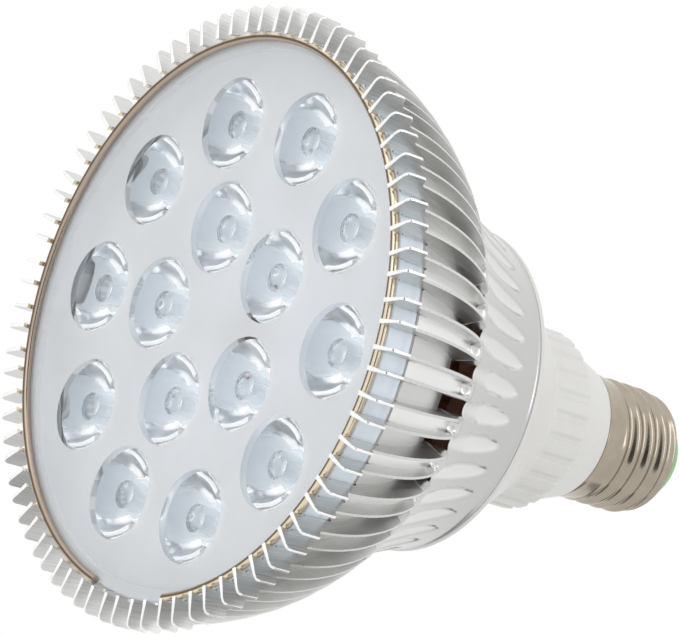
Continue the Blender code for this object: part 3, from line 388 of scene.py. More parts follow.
def grained(name, colour, roughness, metallic=0.0, grain=900.0, spread=0.06, depth=0.01, **sockets):
    """Material with a faint grain in its colour and roughness."""
    material = surface(name, colour, roughness, metallic, **sockets)
    texture = noise_node(material, grain)
    dark = [max(channel * (1 - spread), 0.0) for channel in colour]
    light = [min(channel * (1 + spread), 1.0) for channel in colour]
    vary_colour(material, texture, dark, light)
    vary_roughness(material, texture, roughness * 0.85, min(roughness * 1.15, 1.0))
    add_bump(material, texture, depth)
    return material


def make_surfaces():
    """All the materials, by name."""
    made = {}
    flank = surface("aluminium_flank", (0.68, 0.68, 0.67), 0.36, metallic=1.0)
    lines = noise_node(flank, 1.0, stretch=(2.6, 0.05, 1.0), source="UV", detail=4.0)
    vary_colour(flank, lines, (0.62, 0.62, 0.61), (0.78, 0.78, 0.77))
    vary_roughness(flank, lines, low=0.26, high=0.38)
    add_bump(flank, lines, depth_mm=0.02)
    made["flank"] = flank
    # The fins' rims up to the land get a much whiter copy of the aluminium than their rear rims: painted
    # light on the same casting.
    made["edge"] = grained("aluminium_edge", (0.95, 0.95, 0.94), 0.2, metallic=1.0, grain=1500.0, spread=0.03)
    made["rim"] = grained("aluminium_rim", (0.66, 0.66, 0.65), 0.3, metallic=1.0, grain=1500.0, spread=0.03)
    made["core"] = surface("aluminium_core", (0.62, 0.62, 0.61), 0.32, metallic=1.0)
    # The narrow slots' floors are the same casting as the wide slots' floors, painted lighter: painted light.
    made["narrow"] = surface("aluminium_narrow_painted_light", (0.82, 0.82, 0.81), 0.3, metallic=1.0)
    made["neck"] = surface("aluminium_neck", (0.57, 0.57, 0.57), 0.22, metallic=1.0)
    # The neck's colour runs with the UV map's depth, from the ridges' tone to a lighter one in the flutes: a
    # painted highlight in the hollows.
    ridge = (0.57, 0.57, 0.565)
    painted_flute_light = (0.75, 0.75, 0.74)
    shade_along_map(made["neck"], [(0.0, ridge), (0.5, painted_flute_light), (1.0, painted_flute_light)])
    made["finger"] = surface("aluminium_finger", (0.66, 0.66, 0.65), 0.26, metallic=1.0)
    made["bronze"] = surface("spring_bronze", (0.56, 0.475, 0.365), 0.15, metallic=1.0)
    # Round the wire the bronze's colour is painted reflection: a painted dark line on the front's inner side
    # and a painted pale highlight on its outer side, over its tan.
    tan = (0.45, 0.37, 0.30)
    dark = (0.13, 0.095, 0.06)
    painted_highlight = (0.80, 0.70, 0.53)
    around = [(0.0, tan), (0.66, tan), (0.71, dark), (0.76, dark), (0.81, painted_highlight), (0.93, painted_highlight), (1.0, tan)]
    shade_along_map(made["bronze"], around)
    made["clear"] = surface("clear_acrylic", (1.0, 1.0, 1.0), 0.0, Transmission_Weight=1.0, IOR=1.49)
    frosted = surface("frosted_acrylic", (0.84, 0.86, 0.88), 0.5, Transmission_Weight=0.25, IOR=1.49)
    cloud = noise_node(frosted, 60.0)
    vary_colour(frosted, cloud, (0.81, 0.83, 0.85), (0.85, 0.87, 0.895))
    add_bump(frosted, noise_node(frosted, 3000.0), depth_mm=0.01)
    made["frosted"] = frosted
    made["window"] = surface("window_acrylic", (0.95, 0.98, 1.0), 0.0, Transmission_Weight=1.0, IOR=1.49)
    made["cup"] = surface("cup_acrylic", (0.955, 0.98, 1.0), 0.0, Transmission_Weight=0.97, IOR=1.49)
    made["rim_clear"] = surface("plate_rim", (0.85, 0.93, 1.0), 0.25, Transmission_Weight=0.2, IOR=1.49)
    made["rubber"] = grained("seal_rubber", (0.42, 0.42, 0.42), 0.7)
    made["board"] = grained("white_solder_mask", (0.93, 0.96, 1.0), 0.35, grain=120.0, spread=0.02)
    made["led_base"] = grained("led_ceramic", (0.93, 0.91, 0.88), 0.35)
    made["phosphor"] = grained("led_phosphor", (0.95, 0.85, 0.78), 0.3)
    made["dome"] = surface("led_silicone", (1.0, 0.95, 0.92), 0.05, Transmission_Weight=1.0, IOR=1.41)
    made["steel"] = grained("plated_steel", (0.66, 0.66, 0.64), 0.3, metallic=1.0)
    made["white"] = grained(
        "white_plastic", (0.70, 0.695, 0.675), 0.38, grain=400.0, spread=0.015, depth=0.006)
    made["nickel"] = grained(
        "nickel_plate", (0.41, 0.36, 0.29), 0.18, metallic=1.0, grain=300.0, spread=0.05, depth=0.001)
    made["green"] = grained(
        "green_glaze", (0.13, 0.46, 0.10), 0.25, grain=250.0, spread=0.10, Specular_IOR_Level=0.3)
    made["tin"] = grained("tin_contact", (0.72, 0.70, 0.67), 0.3, metallic=1.0)
    made["brown"] = grained("brown_fibre", (0.42, 0.20, 0.12), 0.6, grain=500.0, spread=0.3)
    made["phenolic"] = grained("phenolic_board", (0.45, 0.26, 0.10), 0.5)
    made["ferrite"] = grained("ferrite", (0.10, 0.10, 0.11), 0.6)
    made["tape"] = grained("yellow_tape", (0.80, 0.62, 0.12), 0.4)
    made["sleeve"] = grained("capacitor_sleeve", (0.05, 0.05, 0.07), 0.35)
    made["film"] = grained("film_yellow", (0.78, 0.60, 0.15), 0.4)
    made["resin"] = grained("black_resin", (0.04, 0.04, 0.04), 0.5)
    made["copper"] = grained("copper_wire", (0.70, 0.36, 0.18), 0.35, metallic=1.0)
    made["beige"] = grained("resistor_beige", (0.75, 0.68, 0.52), 0.5)
    made["red"] = grained("wire_red", (0.55, 0.04, 0.03), 0.45)
    made["black"] = grained("wire_black", (0.03, 0.03, 0.03), 0.45)
    return made


# Heat sink


def fin_arc():
    """Points of the fins' outer arc, from the shoulder to the tip."""
    return arc_between(SHOULDER, FIN_TIP, FIN_BULGE, 32)


def radius_on(points, height):
    """Radius at a height on an open profile that rises steadily."""
    for (near_radius, near), (far_radius, far) in zip(points, points[1:]):
        if height <= far:
            break
    return near_radius + (far_radius - near_radius) * (height - near) / (far - near)


def fin_outline():
    """Closed (radius, height) outline of one fin plate, from its front inner corner round the outside."""
    points = [(BORE_RADIUS, 0.0)]
    points += rounded((LAMP_RADIUS, 0.0), (FRONT_RADIUS, 0.0), (LAMP_RADIUS, FRONT_ROUND_HEIGHT), 1.2, 6)
    points += rounded((LAMP_RADIUS, LAND_HEIGHT), (LAMP_RADIUS, 0.0), SHOULDER, 0.35, 3)
    outer = fin_arc()
    points += rounded(outer[0], (LAMP_RADIUS, LAND_HEIGHT), outer[1], 0.3, 3)
    points += [point for point in outer[1:] if point[1] < FIN_END]
    points += [(radius_on(outer, FIN_END), FIN_END), (FIN_INSIDE, FIN_END + 0.3)]
    points += [(FIN_INSIDE, 27.5), (46.5, 22.0), (51.5, 16.0), (54.2, 10.3), (54.2, 9.8)]
    points += [(BORE_RADIUS, 9.6), (BORE_RADIUS, GROOVE_TOP), (GROOVE_RADIUS, GROOVE_TOP)]
    return points


def fin_half(radius, height):
    """Half of a fin's thickness: cast with draft, so thinner towards the outside."""
    outward = math.hypot(radius - FIN_CENTRE[0], height - FIN_CENTRE[1])
    if height < FRONT_EDGE_HEIGHT:
        share = share_past(outward, FRONT_DRAFT_START, FRONT_DRAFT_LENGTH)
        return FIN_FRONT_HALF + (FIN_RIM_HALF - FIN_FRONT_HALF) * share
    share = share_past(outward, DRAFT_START, DRAFT_LENGTH)
    return FIN_ROOT_HALF + (FIN_RIM_HALF - FIN_ROOT_HALF) * share


def add_fin(mesh_data, uv, degrees):
    """Add one upright fin with rounded rims; flanks get material 0, rims up to the land 1, others 2."""
    outline = fin_outline()
    flat = bmesh.new()
    rims = []
    for side in (-1, 1):
        rim = []
        for radius, height in outline:
            rim.append(flat.verts.new((radius, side * fin_half(radius, height), height)))
        rims.append(rim)
    flat.faces.new(rims[0])
    flat.faces.new(list(reversed(rims[1])))
    count = len(outline)
    for index in range(count):
        following = (index + 1) % count
        face = flat.faces.new((rims[0][following], rims[0][index], rims[1][index], rims[1][following]))
        face.material_index = 1
    sides = {vert: side for side, rim in enumerate(rims) for vert in rim}
    rim_edges = [
        edge for edge in flat.edges
        if sides[edge.verts[0]] == sides[edge.verts[1]] and edge.verts[0].co.x > FIN_TIP[0] - 1.0
    ]
    bmesh.ops.bevel(
        flat, geom=rim_edges, offset=FIN_EDGE_ROUND, segments=3, profile=0.5, affect="EDGES",
        clamp_overlap=True, material=1)
    spin = Matrix.Rotation(math.radians(degrees), 3, "Z")
    made = {vert: mesh_data.verts.new(spin @ vert.co) for vert in flat.verts}
    for face in flat.faces:
        copy = mesh_data.faces.new([made[vert] for vert in face.verts])
        rear = face.calc_center_median().z > LAND_HEIGHT + 0.6
        copy.material_index = 2 if face.material_index == 1 and rear else face.material_index
        for loop, source in zip(copy.loops, face.verts):
            offset = Vector((source.co.x - FIN_CENTRE[0], source.co.z - FIN_CENTRE[1]))
            along = math.atan2(offset.y, offset.x) * FIN_STREAK_RADIUS
            loop[uv].uv = (offset.length + degrees, along)
    flat.free()


def ease(value):
    """Smooth step from 0 to 1."""
    value = min(max(value, 0.0), 1.0)
    return value * value * (3.0 - 2.0 * value)


def add_finger_end(mesh_data, degrees, arc):
    """Add the rounded rear end of a pair of fins, where the narrow slot runs out."""
    halves = [0.45, 0.85, 1.15, 1.5, 1.8, 1.95, 2.03, FINGER_HALF]
    across = [-offset for offset in reversed(halves)] + [0.0] + halves
    along = [0.0, 0.12, 0.25, 0.38, 0.5, 0.6, 0.7, 0.78, 0.85, 0.9, 0.94, 0.97, 0.99, 1.0]
    spin = Matrix.Rotation(math.radians(degrees), 3, "Z")
    tops = []
    feet = []
    for offset in across:
        inset = max(abs(offset) - (FINGER_HALF - FINGER_CORNER), 0.0)
        tip = FINGER_END - (FINGER_CORNER - math.sqrt(max(FINGER_CORNER ** 2 - inset ** 2, 0.0)))
        edge = max(abs(offset) - (FINGER_HALF - FINGER_EDGE), 0.0) / FINGER_EDGE
        top = []
        low = []
        for share in along:
            height = FINGER_START + (tip - FINGER_START) * share
            past_tip = max(height - FIN_TIP[1], 0.0)
            outer = radius_on(arc, min(height, FIN_TIP[1])) - past_tip * FINGER_FALL
            floor = SHALLOW_END[0] - (height - SHALLOW_END[1]) * RUN_OUT_SLOPE
            middle = floor + (outer - floor) * ease((height - RUN_OUT_START) / RUN_OUT_LENGTH)
            beside = ease((abs(offset) - SLOT_HALF) / SLOT_FLANK)
            radius = middle + (outer - FINGER_SINK - middle) * beside
            radius -= FINGER_EDGE * (1.0 - math.sqrt(max(1.0 - edge ** 2, 0.0)))
            late = share_past(height, tip - FINGER_ROUND, FINGER_ROUND)
            radius -= FINGER_ROUND * (1.0 - math.sqrt(1.0 - late ** 2))
            top.append(mesh_data.verts.new(spin @ Vector((radius, offset, height))))
            low.append(mesh_data.verts.new(spin @ Vector((FINGER_FOOT, offset, height))))
        tops.append(top)
        feet.append(low)
    last = len(along) - 1
    for index in range(len(across) - 1):
        top, next_top = tops[index], tops[index + 1]
        low, next_low = feet[index], feet[index + 1]
        for row in range(last):
            mesh_data.faces.new((top[row], next_top[row], next_top[row + 1], top[row + 1]))
            mesh_data.faces.new((low[row], next_low[row], next_low[row + 1], low[row + 1]))
        for row in (0, last):
            mesh_data.faces.new((top[row], next_top[row], next_low[row], low[row]))
    for top, low in ((tops[0], feet[0]), (tops[-1], feet[-1])):
        for row in range(last):
            mesh_data.faces.new((top[row], top[row + 1], low[row + 1], low[row]))


def core_loop(wide):
    """Closed profile of the cup wall between fins, in a wide or a narrow slot."""
    end = DEEP_END if wide else SHALLOW_END
    floor = arc_between(FLOOR_START, end, FLOOR_BULGE, 20)
    loop = [(51.2, LEDGE_HEIGHT), (54.6, LEDGE_HEIGHT)] + floor
    if wide:
        loop += [(42.9, 29.05), (42.8, 29.2), (42.65, 29.28), (42.4, 29.3)]
    else:
        loop += [(45.6, 33.0), (44.8, 33.3), (43.6, 33.45), (42.4, 33.5)]
    loop += [(CAVITY_RADIUS, DECK_REAR), (DECK_HOLE, DECK_REAR), (DECK_HOLE, DECK_FRONT), (48.8, DECK_FRONT)]
    return loop


def neck_radius(degrees, radius, progress):
    """Radius of the neck with its flutes; progress runs from 0 at the fins to 1 at the rear end."""
    if progress >= FLUTE_END:
        return radius
    off_centre = abs((degrees - WIDE_PHASE + PITCH / 2) % PITCH - PITCH / 2)
    across = math.radians(off_centre) * radius
    grown = min(progress * FLUTE_GROWTH, 1.0)
    swell = math.sqrt(max(1.0 - (progress / FLUTE_END) ** 4, 0.0))
    half_width = (FLUTE_HALF + FLUTE_HALF_GAIN * grown) * swell
    depth = (FLUTE_DEPTH + FLUTE_DEPTH_GAIN * grown) * swell
    if across >= half_width:
        return radius
    return radius - depth * (1.0 - (across / half_width) ** 2) ** FLUTE_ROUNDNESS


def build_fins(surfaces):
    """Eighty fins in forty pairs."""
    mesh_data = bmesh.new()
    uv = mesh_data.loops.layers.uv.new("streaks")
    for pair in range(PAIRS):
        centre = WIDE_PHASE + (pair + 0.5) * PITCH
        for side in (-1, 1):
            add_fin(mesh_data, uv, centre + side * INSIDE_ANGLE / 2)
    fins = finish_mesh("fins", mesh_data, [surfaces["flank"], surfaces["edge"], surfaces["rim"]])
    weighted = fins.modifiers.new("Weighted", "WEIGHTED_NORMAL")
    weighted.keep_sharp = True
    return fins


def build_finger_ends(surfaces):
    """Rounded rear ends of the pairs of fins."""
    mesh_data = bmesh.new()
    arc = fin_arc()
    for pair in range(PAIRS):
        add_finger_end(mesh_data, WIDE_PHASE + (pair + 0.5) * PITCH, arc)
    return finish_mesh("finger_ends", mesh_data, [surfaces["finger"]])


def build_cup_wall(surfaces):
    """Wall between the fins with the deck inside it; the narrow slots' floors have a surface of their own,
    painted lighter as painted light.
    """
    mesh_data = bmesh.new()
    columns = []
    wide = core_loop(True)
    narrow = core_loop(False)
    half_wide = (PITCH - INSIDE_ANGLE) / 2
    for pair in range(PAIRS):
        start = WIDE_PHASE + pair * PITCH
        for offset in (-half_wide, 0.0, half_wide):
            columns.append([polar(radius, start + offset, height) for radius, height in wide])
        for offset in (half_wide, PITCH / 2, half_wide + INSIDE_ANGLE):
            columns.append([polar(radius, start + offset, height) for radius, height in narrow])
    grid_of_columns(mesh_data, columns)
    wall = finish_mesh("cup_wall", mesh_data, [surfaces["core"], surfaces["narrow"]], sharp=50.0)
    for polygon in wall.data.polygons:
        column = polygon.index // len(wide) % COLUMNS_IN_PAIR
        polygon.material_index = 1 if column in NARROW_COLUMNS else 0
    return wall


def build_neck(surfaces):
    """Fluted neck; its UV map holds the depth below the ridges in millimetres, up to 1, for the flutes'
    painted highlight.
    """
    ridge = arc_between(NECK_ROOT, NECK_END, -NECK_HOLLOW, 34)
    rows = [NECK_FOOT] + ridge
    low, high = rows[0][1], rows[-1][1]
    profile = rows + [(33.23, 58.7), (33.28, 59.0), (33.22, 59.15), (33.1, 59.2)]
    profile += [(31.0, 59.2), (31.0, 49.0), (38.4, 35.2), (38.4, NECK_FOOT[1])]

    def fluted(row, radius, height, degrees):
        if row >= len(rows):
            return radius
        return neck_radius(degrees, radius, (height - low) / (high - low))

    neck = turned("neck", profile, PAIRS * NECK_STEPS, [surfaces["neck"]], radius_at=fluted)
    depth = neck.data.uv_layers.new(name="depth")
    for loop in neck.data.loops:
        point = neck.data.vertices[loop.vertex_index].co / MM
        outside = low < point.z < high and point.xy.length > NECK_INSIDE
        below = max(radius_on(ridge, point.z) - point.xy.length, 0.0) if outside else 0.0
        depth.data[loop.index].uv = (min(below, 1.0), point.z / high)
    return neck


# Ring, plate and optics


def build_snap_ring(surfaces):
    """Open spring ring of round wire; the UV map runs round the wire from its outer side over the rear, for
    its painted reflection bands.
    """
    section = []
    for side in range(WIRE_SIDES):
        turn = math.radians(360.0 / WIRE_SIDES * side)
        radius = RING_RADIUS + WIRE_RADIUS * math.cos(turn)
        section.append((radius, RING_HEIGHT + WIRE_RADIUS * math.sin(turn)))
    mesh_data = bmesh.new()
    uv = mesh_data.loops.layers.uv.new("around")
    rings = []
    for step in range(RING_STEPS + 1):
        angle = RING_START + RING_SWEEP * step / RING_STEPS
        rings.append([mesh_data.verts.new(polar(radius, angle, level)) for radius, level in section])
    for ring, following in zip(rings, rings[1:]):
        for row in range(WIRE_SIDES):
            above = (row + 1) % WIRE_SIDES
            face = mesh_data.faces.new((ring[row], following[row], following[above], ring[above]))
            for loop, turn in zip(face.loops, (row, row, row + 1, row + 1)):
                loop[uv].uv = (turn / WIRE_SIDES, 0.0)
    mesh_data.faces.new(rings[0])
    mesh_data.faces.new(list(reversed(rings[-1])))
    return finish_mesh("ring", mesh_data, [surfaces["bronze"]])


def ring_of_places(count, radius):
    """Places of one ring of optics."""
    return [polar(radius, OPTICS_START + 360.0 / count * index) for index in range(count)]


OPTICS = ring_of_places(10, OUTER_OPTICS_RADIUS) + ring_of_places(5, INNER_OPTICS_RADIUS)


def lathe_at(mesh_data, profile, sides, centre):
    """Add a closed body turned about an upright axis at a centre; the profile ends lie on that axis."""
    rings = []
    for radius, height in profile:
        if radius < 1e-6:
            rings.append([mesh_data.verts.new((centre.x, centre.y, height))])
            continue
        ring = []
        for side in range(sides):
            spot = polar(radius, 360.0 * side / sides, height)
            ring.append(mesh_data.verts.new((centre.x + spot.x, centre.y + spot.y, height)))
        rings.append(ring)
    for lower, upper in zip(rings, rings[1:]):
        for side in range(sides):
            following = (side + 1) % sides
            corners = [lower[side % len(lower)], lower[following % len(lower)]]
            corners += [upper[following % len(upper)], upper[side % len(upper)]]
            mesh_data.faces.new(list(dict.fromkeys(corners)))


def lathe_with_skin(mesh_data, profile, sides, centre, skin):
    """Add a turned body whose faces have one material."""
    first = len(mesh_data.faces)
    lathe_at(mesh_data, profile, sides, centre)
    mesh_data.faces.ensure_lookup_table()
    for face in mesh_data.faces[first:]:
        face.material_index = skin


def combine(target, cutter, operation):
    """Apply a Boolean to the target and remove the cutter."""
    boolean = target.modifiers.new(cutter.name, "BOOLEAN")
    boolean.operation = operation
    boolean.solver = "EXACT"
    boolean.object = cutter
    graph = bpy.context.evaluated_depsgraph_get()
    mesh = bpy.data.meshes.new_from_object(target.evaluated_get(graph))
    target.modifiers.clear()
    target.data = mesh
    bpy.data.objects.remove(cutter)


def cup_profile():
    """Half section of one light cup, from inside the plate to its tip."""
    wall = [(CUP_RADIUS, FACE_BACK - 1.0), (CUP_RADIUS, FACE_BACK)]
    for step in range(1, CUP_STEPS + 1):
        t = step / CUP_STEPS
        bow = 4.0 * t * (1.0 - t) * CUP_BOW
        radius = CUP_RADIUS - t * (CUP_RADIUS - CUP_TIP_RADIUS) + bow
        wall.append((radius, FACE_BACK + t * (CUP_TIP - FACE_BACK)))
    return [(0.0, FACE_BACK - 1.0)] + wall + [(0.0, CUP_TIP)]


def plate_skin(polygon):
    """Name of the surface on one face of the lens plate."""
    centre = polygon.center
    if centre.xy.length > (PLATE_RADIUS - 0.3) * MM:
        return "rim_clear"
    flat_front = abs(centre.z - FACE_HEIGHT * MM) < 0.02 * MM and polygon.normal.z < -0.9
    lip = centre.xy.length > (PLATE_INNER - 0.3) * MM and centre.z < (FACE_HEIGHT + 0.1) * MM
    recess = FACE_HEIGHT * MM < centre.z < WINDOW_FLOOR * MM and abs(polygon.normal.z) < 0.5
    if flat_front or lip or recess:
        return "frosted"
    if abs(centre.z - WINDOW_FLOOR * MM) < 0.02 * MM:
        return "window"
    return "cup" if centre.z > (FACE_BACK + 0.05) * MM else "clear"


def build_lens_plate(surfaces):
    """Clear plate: lip, rear rim, and for each LED a sunk window with a light cup behind it."""
    profile = [
        (0.0, FACE_HEIGHT), (PLATE_INNER - 0.25, FACE_HEIGHT), (PLATE_INNER, FACE_HEIGHT - 0.25),
        (PLATE_INNER + 0.1, PLATE_LIP), (PLATE_RADIUS - 0.2, PLATE_LIP), (PLATE_RADIUS, PLATE_LIP + 0.2),
        (PLATE_RADIUS, PLATE_REAR), (PLATE_INNER, PLATE_REAR), (PLATE_INNER, FACE_BACK), (0.0, FACE_BACK),
    ]
    window = [(0.0, 2.0), (WINDOW_RADIUS + 0.1, 2.0), (WINDOW_RADIUS, WINDOW_FLOOR), (0.0, WINDOW_FLOOR)]
    pocket = [(0.0, 5.6), (1.2, 5.7), (2.2, 6.0), (2.8, 6.5), (3.1, CUP_TIP + 1.0), (0.0, CUP_TIP + 1.0)]
    blank = bmesh.new()
    lathe_at(blank, profile, sides=144, centre=Vector((0.0, 0.0, 0.0)))
    plate = plain_object("optics_plate", blank)
    cups = bmesh.new()
    windows = bmesh.new()
    pockets = bmesh.new()
    for place in OPTICS:
        lathe_at(cups, cup_profile(), sides=40, centre=place)
        lathe_at(windows, window, sides=48, centre=place)
        lathe_at(pockets, pocket, sides=32, centre=place)
    combine(plate, plain_object("cups", cups), "UNION")
    combine(plate, plain_object("windows", windows), "DIFFERENCE")
    combine(plate, plain_object("pockets", pockets), "DIFFERENCE")
    mesh = plate.data
    mesh.materials.clear()
    for skin in PLATE_SKINS:
        mesh.materials.append(surfaces[skin])
    for polygon in mesh.polygons:
        polygon.material_index = PLATE_SKINS.index(plate_skin(polygon))
    mesh.shade_smooth()
    mesh.set_sharp_from_angle(angle=math.radians(30.0))
    return plate


def build_leds(surfaces):
    """LEDs: ceramic base, round phosphor patch and clear dome."""
    patch = [(0.0, 14.36), (1.15, 14.36), (1.15, 14.28), (0.0, 14.26)]
    dome = []
    for step in range(DOME_STEPS + 1):
        turn = step * math.pi / (2 * DOME_STEPS)
        dome.append((DOME_RADIUS * math.sin(turn), LED_FRONT - DOME_HEIGHT * math.cos(turn)))
    dome.append((0.0, LED_FRONT))
    made = []
    for number, place in enumerate(OPTICS, start=1):
        mesh_data = bmesh.new()
        base = bmesh.ops.create_cube(mesh_data, size=1.0)["verts"]
        bmesh.ops.scale(mesh_data, vec=(LED_WIDTH, LED_WIDTH, LED_THICKNESS), verts=base)
        bmesh.ops.translate(mesh_data, vec=(place.x, place.y, LED_MIDDLE), verts=base)
        edges = list(mesh_data.edges)
        bmesh.ops.bevel(mesh_data, geom=edges, offset=0.08, segments=2, profile=0.5, affect="EDGES")
        lathe_with_skin(mesh_data, patch, sides=24, centre=place, skin=1)
        lathe_with_skin(mesh_data, dome, sides=24, centre=place, skin=2)
        skins = [surfaces["led_base"], surfaces["phosphor"], surfaces["dome"]]
        made.append((finish_mesh(f"emitter_{number:02d}", mesh_data, skins), f"led_{number:02d}"))
    return made


# Collar and cap


def grip_groove(row, radius, height, degrees):
    """Radius of the collar with the grooves of its grip."""
    if radius < GRIP_RADIUS or not GRIP_LOW < height < GRIP_HIGH:
        return radius
    panel = 360.0 / GRIP_PANELS
    off_centre = abs((degrees - GRIP_PHASE + panel / 2) % panel - panel / 2)
    across = math.radians(off_centre) * radius
    floor = radius - GRIP_DEPTH * share_past(height, GRIP_LOW, GRIP_RISE)
    return floor + (radius - floor) * share_past(across, GRIP_CUT_HALF, GRIP_CUT_FLANK)


def build_collar(surfaces):
    """White collar: flange, cone, grooved grip, nose and hidden cap neck."""
    outline = soften([
        (11.1, 112.4), (11.1, 96.7), (13.8, 96.7), (17.1, 86.8), (18.6, 86.6), (18.6, 77.0), (20.2, 75.2),
        (32.2, 60.6), (33.2, 60.4), (33.2, 59.4), (30.7, 59.4), (30.7, 49.4), (29.1, 49.4), (29.1, 60.8),
        (17.4, 75.2), (8.6, 96.7), (8.6, 112.4),
    ], {2: 0.4, 3: 0.5, 4: 0.45, 5: 0.8, 6: 1.2, 7: 0.5, 8: 0.25, 9: 0.15})
    profile = []
    for (radius, height), (next_radius, next_height) in zip(outline, outline[1:] + outline[:1]):
        profile.append((radius, height))
        upright = radius > GRIP_RADIUS + 1.0 and abs(radius - next_radius) < 0.05
        if upright and 80.0 < (height + next_height) / 2 < 84.0:
            for step in range(1, GRIP_STEPS):
                t = step / GRIP_STEPS
                profile.append((radius + (next_radius - radius) * t, height + (next_height - height) * t))
    steps = GRIP_PANELS * PANEL_STEPS
    return turned("collar_moulding", profile, steps, [surfaces["white"]], radius_at=grip_groove)


def thread_radius(degrees, height):
    """Outer radius of the cap's right-hand round thread."""
    turns = (height - THREAD_PHASE) / THREAD_PITCH - degrees / 360.0
    run_in = share_past(height, THREAD_START, THREAD_RUN_IN)
    run_out = min(max((THREAD_END - height) / THREAD_RUN_OUT, 0.0), 1.0)
    fade = run_in * run_out
    wave = -math.cos(2 * math.pi * turns)
    middle = THREAD_RADIUS + PLAIN_EXTRA * (1 - fade)
    return middle + THREAD_WAVE * wave * fade - max(height - SHELL_FALL_START, 0.0) * SHELL_FALL


def build_cap_shell(surfaces):
    """Screw shell with a rolled thread."""
    skirt = [(13.05, 97.0), (13.35, 97.15), (13.4, 97.6), (13.2, 98.3), (13.1, 99.5)]
    threaded = [(13.05, 101.6 + index * 0.25) for index in range(61)]
    profile = skirt + threaded + [(11.8, 116.9), (11.4, 117.1), (10.9, 117.1)]
    profile += [(10.9, 116.6), (11.3, 116.5), (11.3, 96.95)]
    first = len(skirt)
    last = first + len(threaded)

    def thread(row, radius, height, degrees):
        return thread_radius(degrees, height) if first <= row < last else radius

    return turned("screw_shell", profile, 144, [surfaces["nickel"]], sharp=50.0, radius_at=thread)


def build_insulator(surfaces):
    """Green glazed insulator."""
    profile = soften([
        (5.9, 122.3), (8.0, 121.4), (10.4, 117.8), (10.4, 114.0), (1.8, 114.0), (1.8, 122.3),
    ], {0: 0.6, 1: 0.8, 2: 0.7})
    return turned("insulator_cone", profile, 72, [surfaces["green"]])


def build_contact(surfaces):
    """Riveted centre contact with a rounded edge."""
    mesh_data = bmesh.new()
    profile = [(0.0, 124.2), (2.6, 124.18), (3.6, 124.05), (4.3, 123.7), (4.6, 123.2), (4.6, 122.7)]
    profile += [(1.5, 122.6), (1.5, 116.0), (0.0, 116.0)]
    lathe_at(mesh_data, profile, sides=48, centre=Vector((0.0, 0.0, 0.0)))
    return finish_mesh("contact_rivet", mesh_data, [surfaces["tin"]], sharp=30.0)


# Stage, light and camera


def camera_axes():
    """Rotation from the lamp's frame to the camera's, with x right, y down and z ahead."""
    return Matrix.Rotation(CAMERA_TURN.length, 3, CAMERA_TURN.normalized())


def place_camera():
    """Camera at the photograph's viewing angle and distance."""
    turn = camera_axes()
    data = bpy.data.cameras.new("camera")
    data.sensor_fit = "HORIZONTAL"
    data.sensor_width = SENSOR_WIDTH
    data.lens = FOCAL_PIXELS * SENSOR_WIDTH / IMAGE_WIDTH
    data.clip_end = 10.0
    camera = bpy.data.objects.new("camera", data)
    bpy.context.scene.collection.objects.link(camera)
    flip = Matrix(((1, 0, 0), (0, -1, 0), (0, 0, -1)))
    place = (turn.transposed() @ flip).to_4x4()
    place.translation = turn.transposed() @ CAMERA_SHIFT * -MM
    camera.matrix_world = place
    bpy.context.scene.camera = camera


def facing(right, up, back):
    """Matrix at metres right of, above and before the lamp as photographed, its -Z axis at the lamp."""
    turn = camera_axes().transposed()
    middle = Vector((0.0, 0.0, 0.05))
    place = turn @ Vector((right, -up, -back)) + middle
    away = (place - middle).normalized()
    side = (turn @ Vector((0.0, -1.0, 0.0))).cross(away).normalized()
    matrix = Matrix((side, away.cross(side), away)).transposed().to_4x4()
    matrix.translation = place
    return matrix


def area_light(name, place, width, height, watts):
    """Rectangular light, in metres and watts, aimed at the lamp's middle."""
    data = bpy.data.lights.new(name, "AREA")
    data.shape = "RECTANGLE"
    data.size = width
    data.size_y = height
    data.energy = watts
    light = bpy.data.objects.new(name, data)
    bpy.context.scene.collection.objects.link(light)
    light.matrix_world = facing(*place)


def card(name, place, width, height, shade):
    """Dark card of a size in metres that shows in reflections alone."""
    mesh_data = bmesh.new()
    bmesh.ops.create_grid(mesh_data, x_segments=1, y_segments=1, size=0.5 / MM)
    bmesh.ops.scale(mesh_data, vec=(width, height, 1.0), verts=mesh_data.verts)
    piece = finish_mesh(name, mesh_data, [surface(name, (shade, shade, shade), 0.9)])
    piece.matrix_world = facing(*place)
    piece.visible_camera = False
    piece.visible_shadow = False
    piece.visible_diffuse = False
    piece.visible_transmission = False


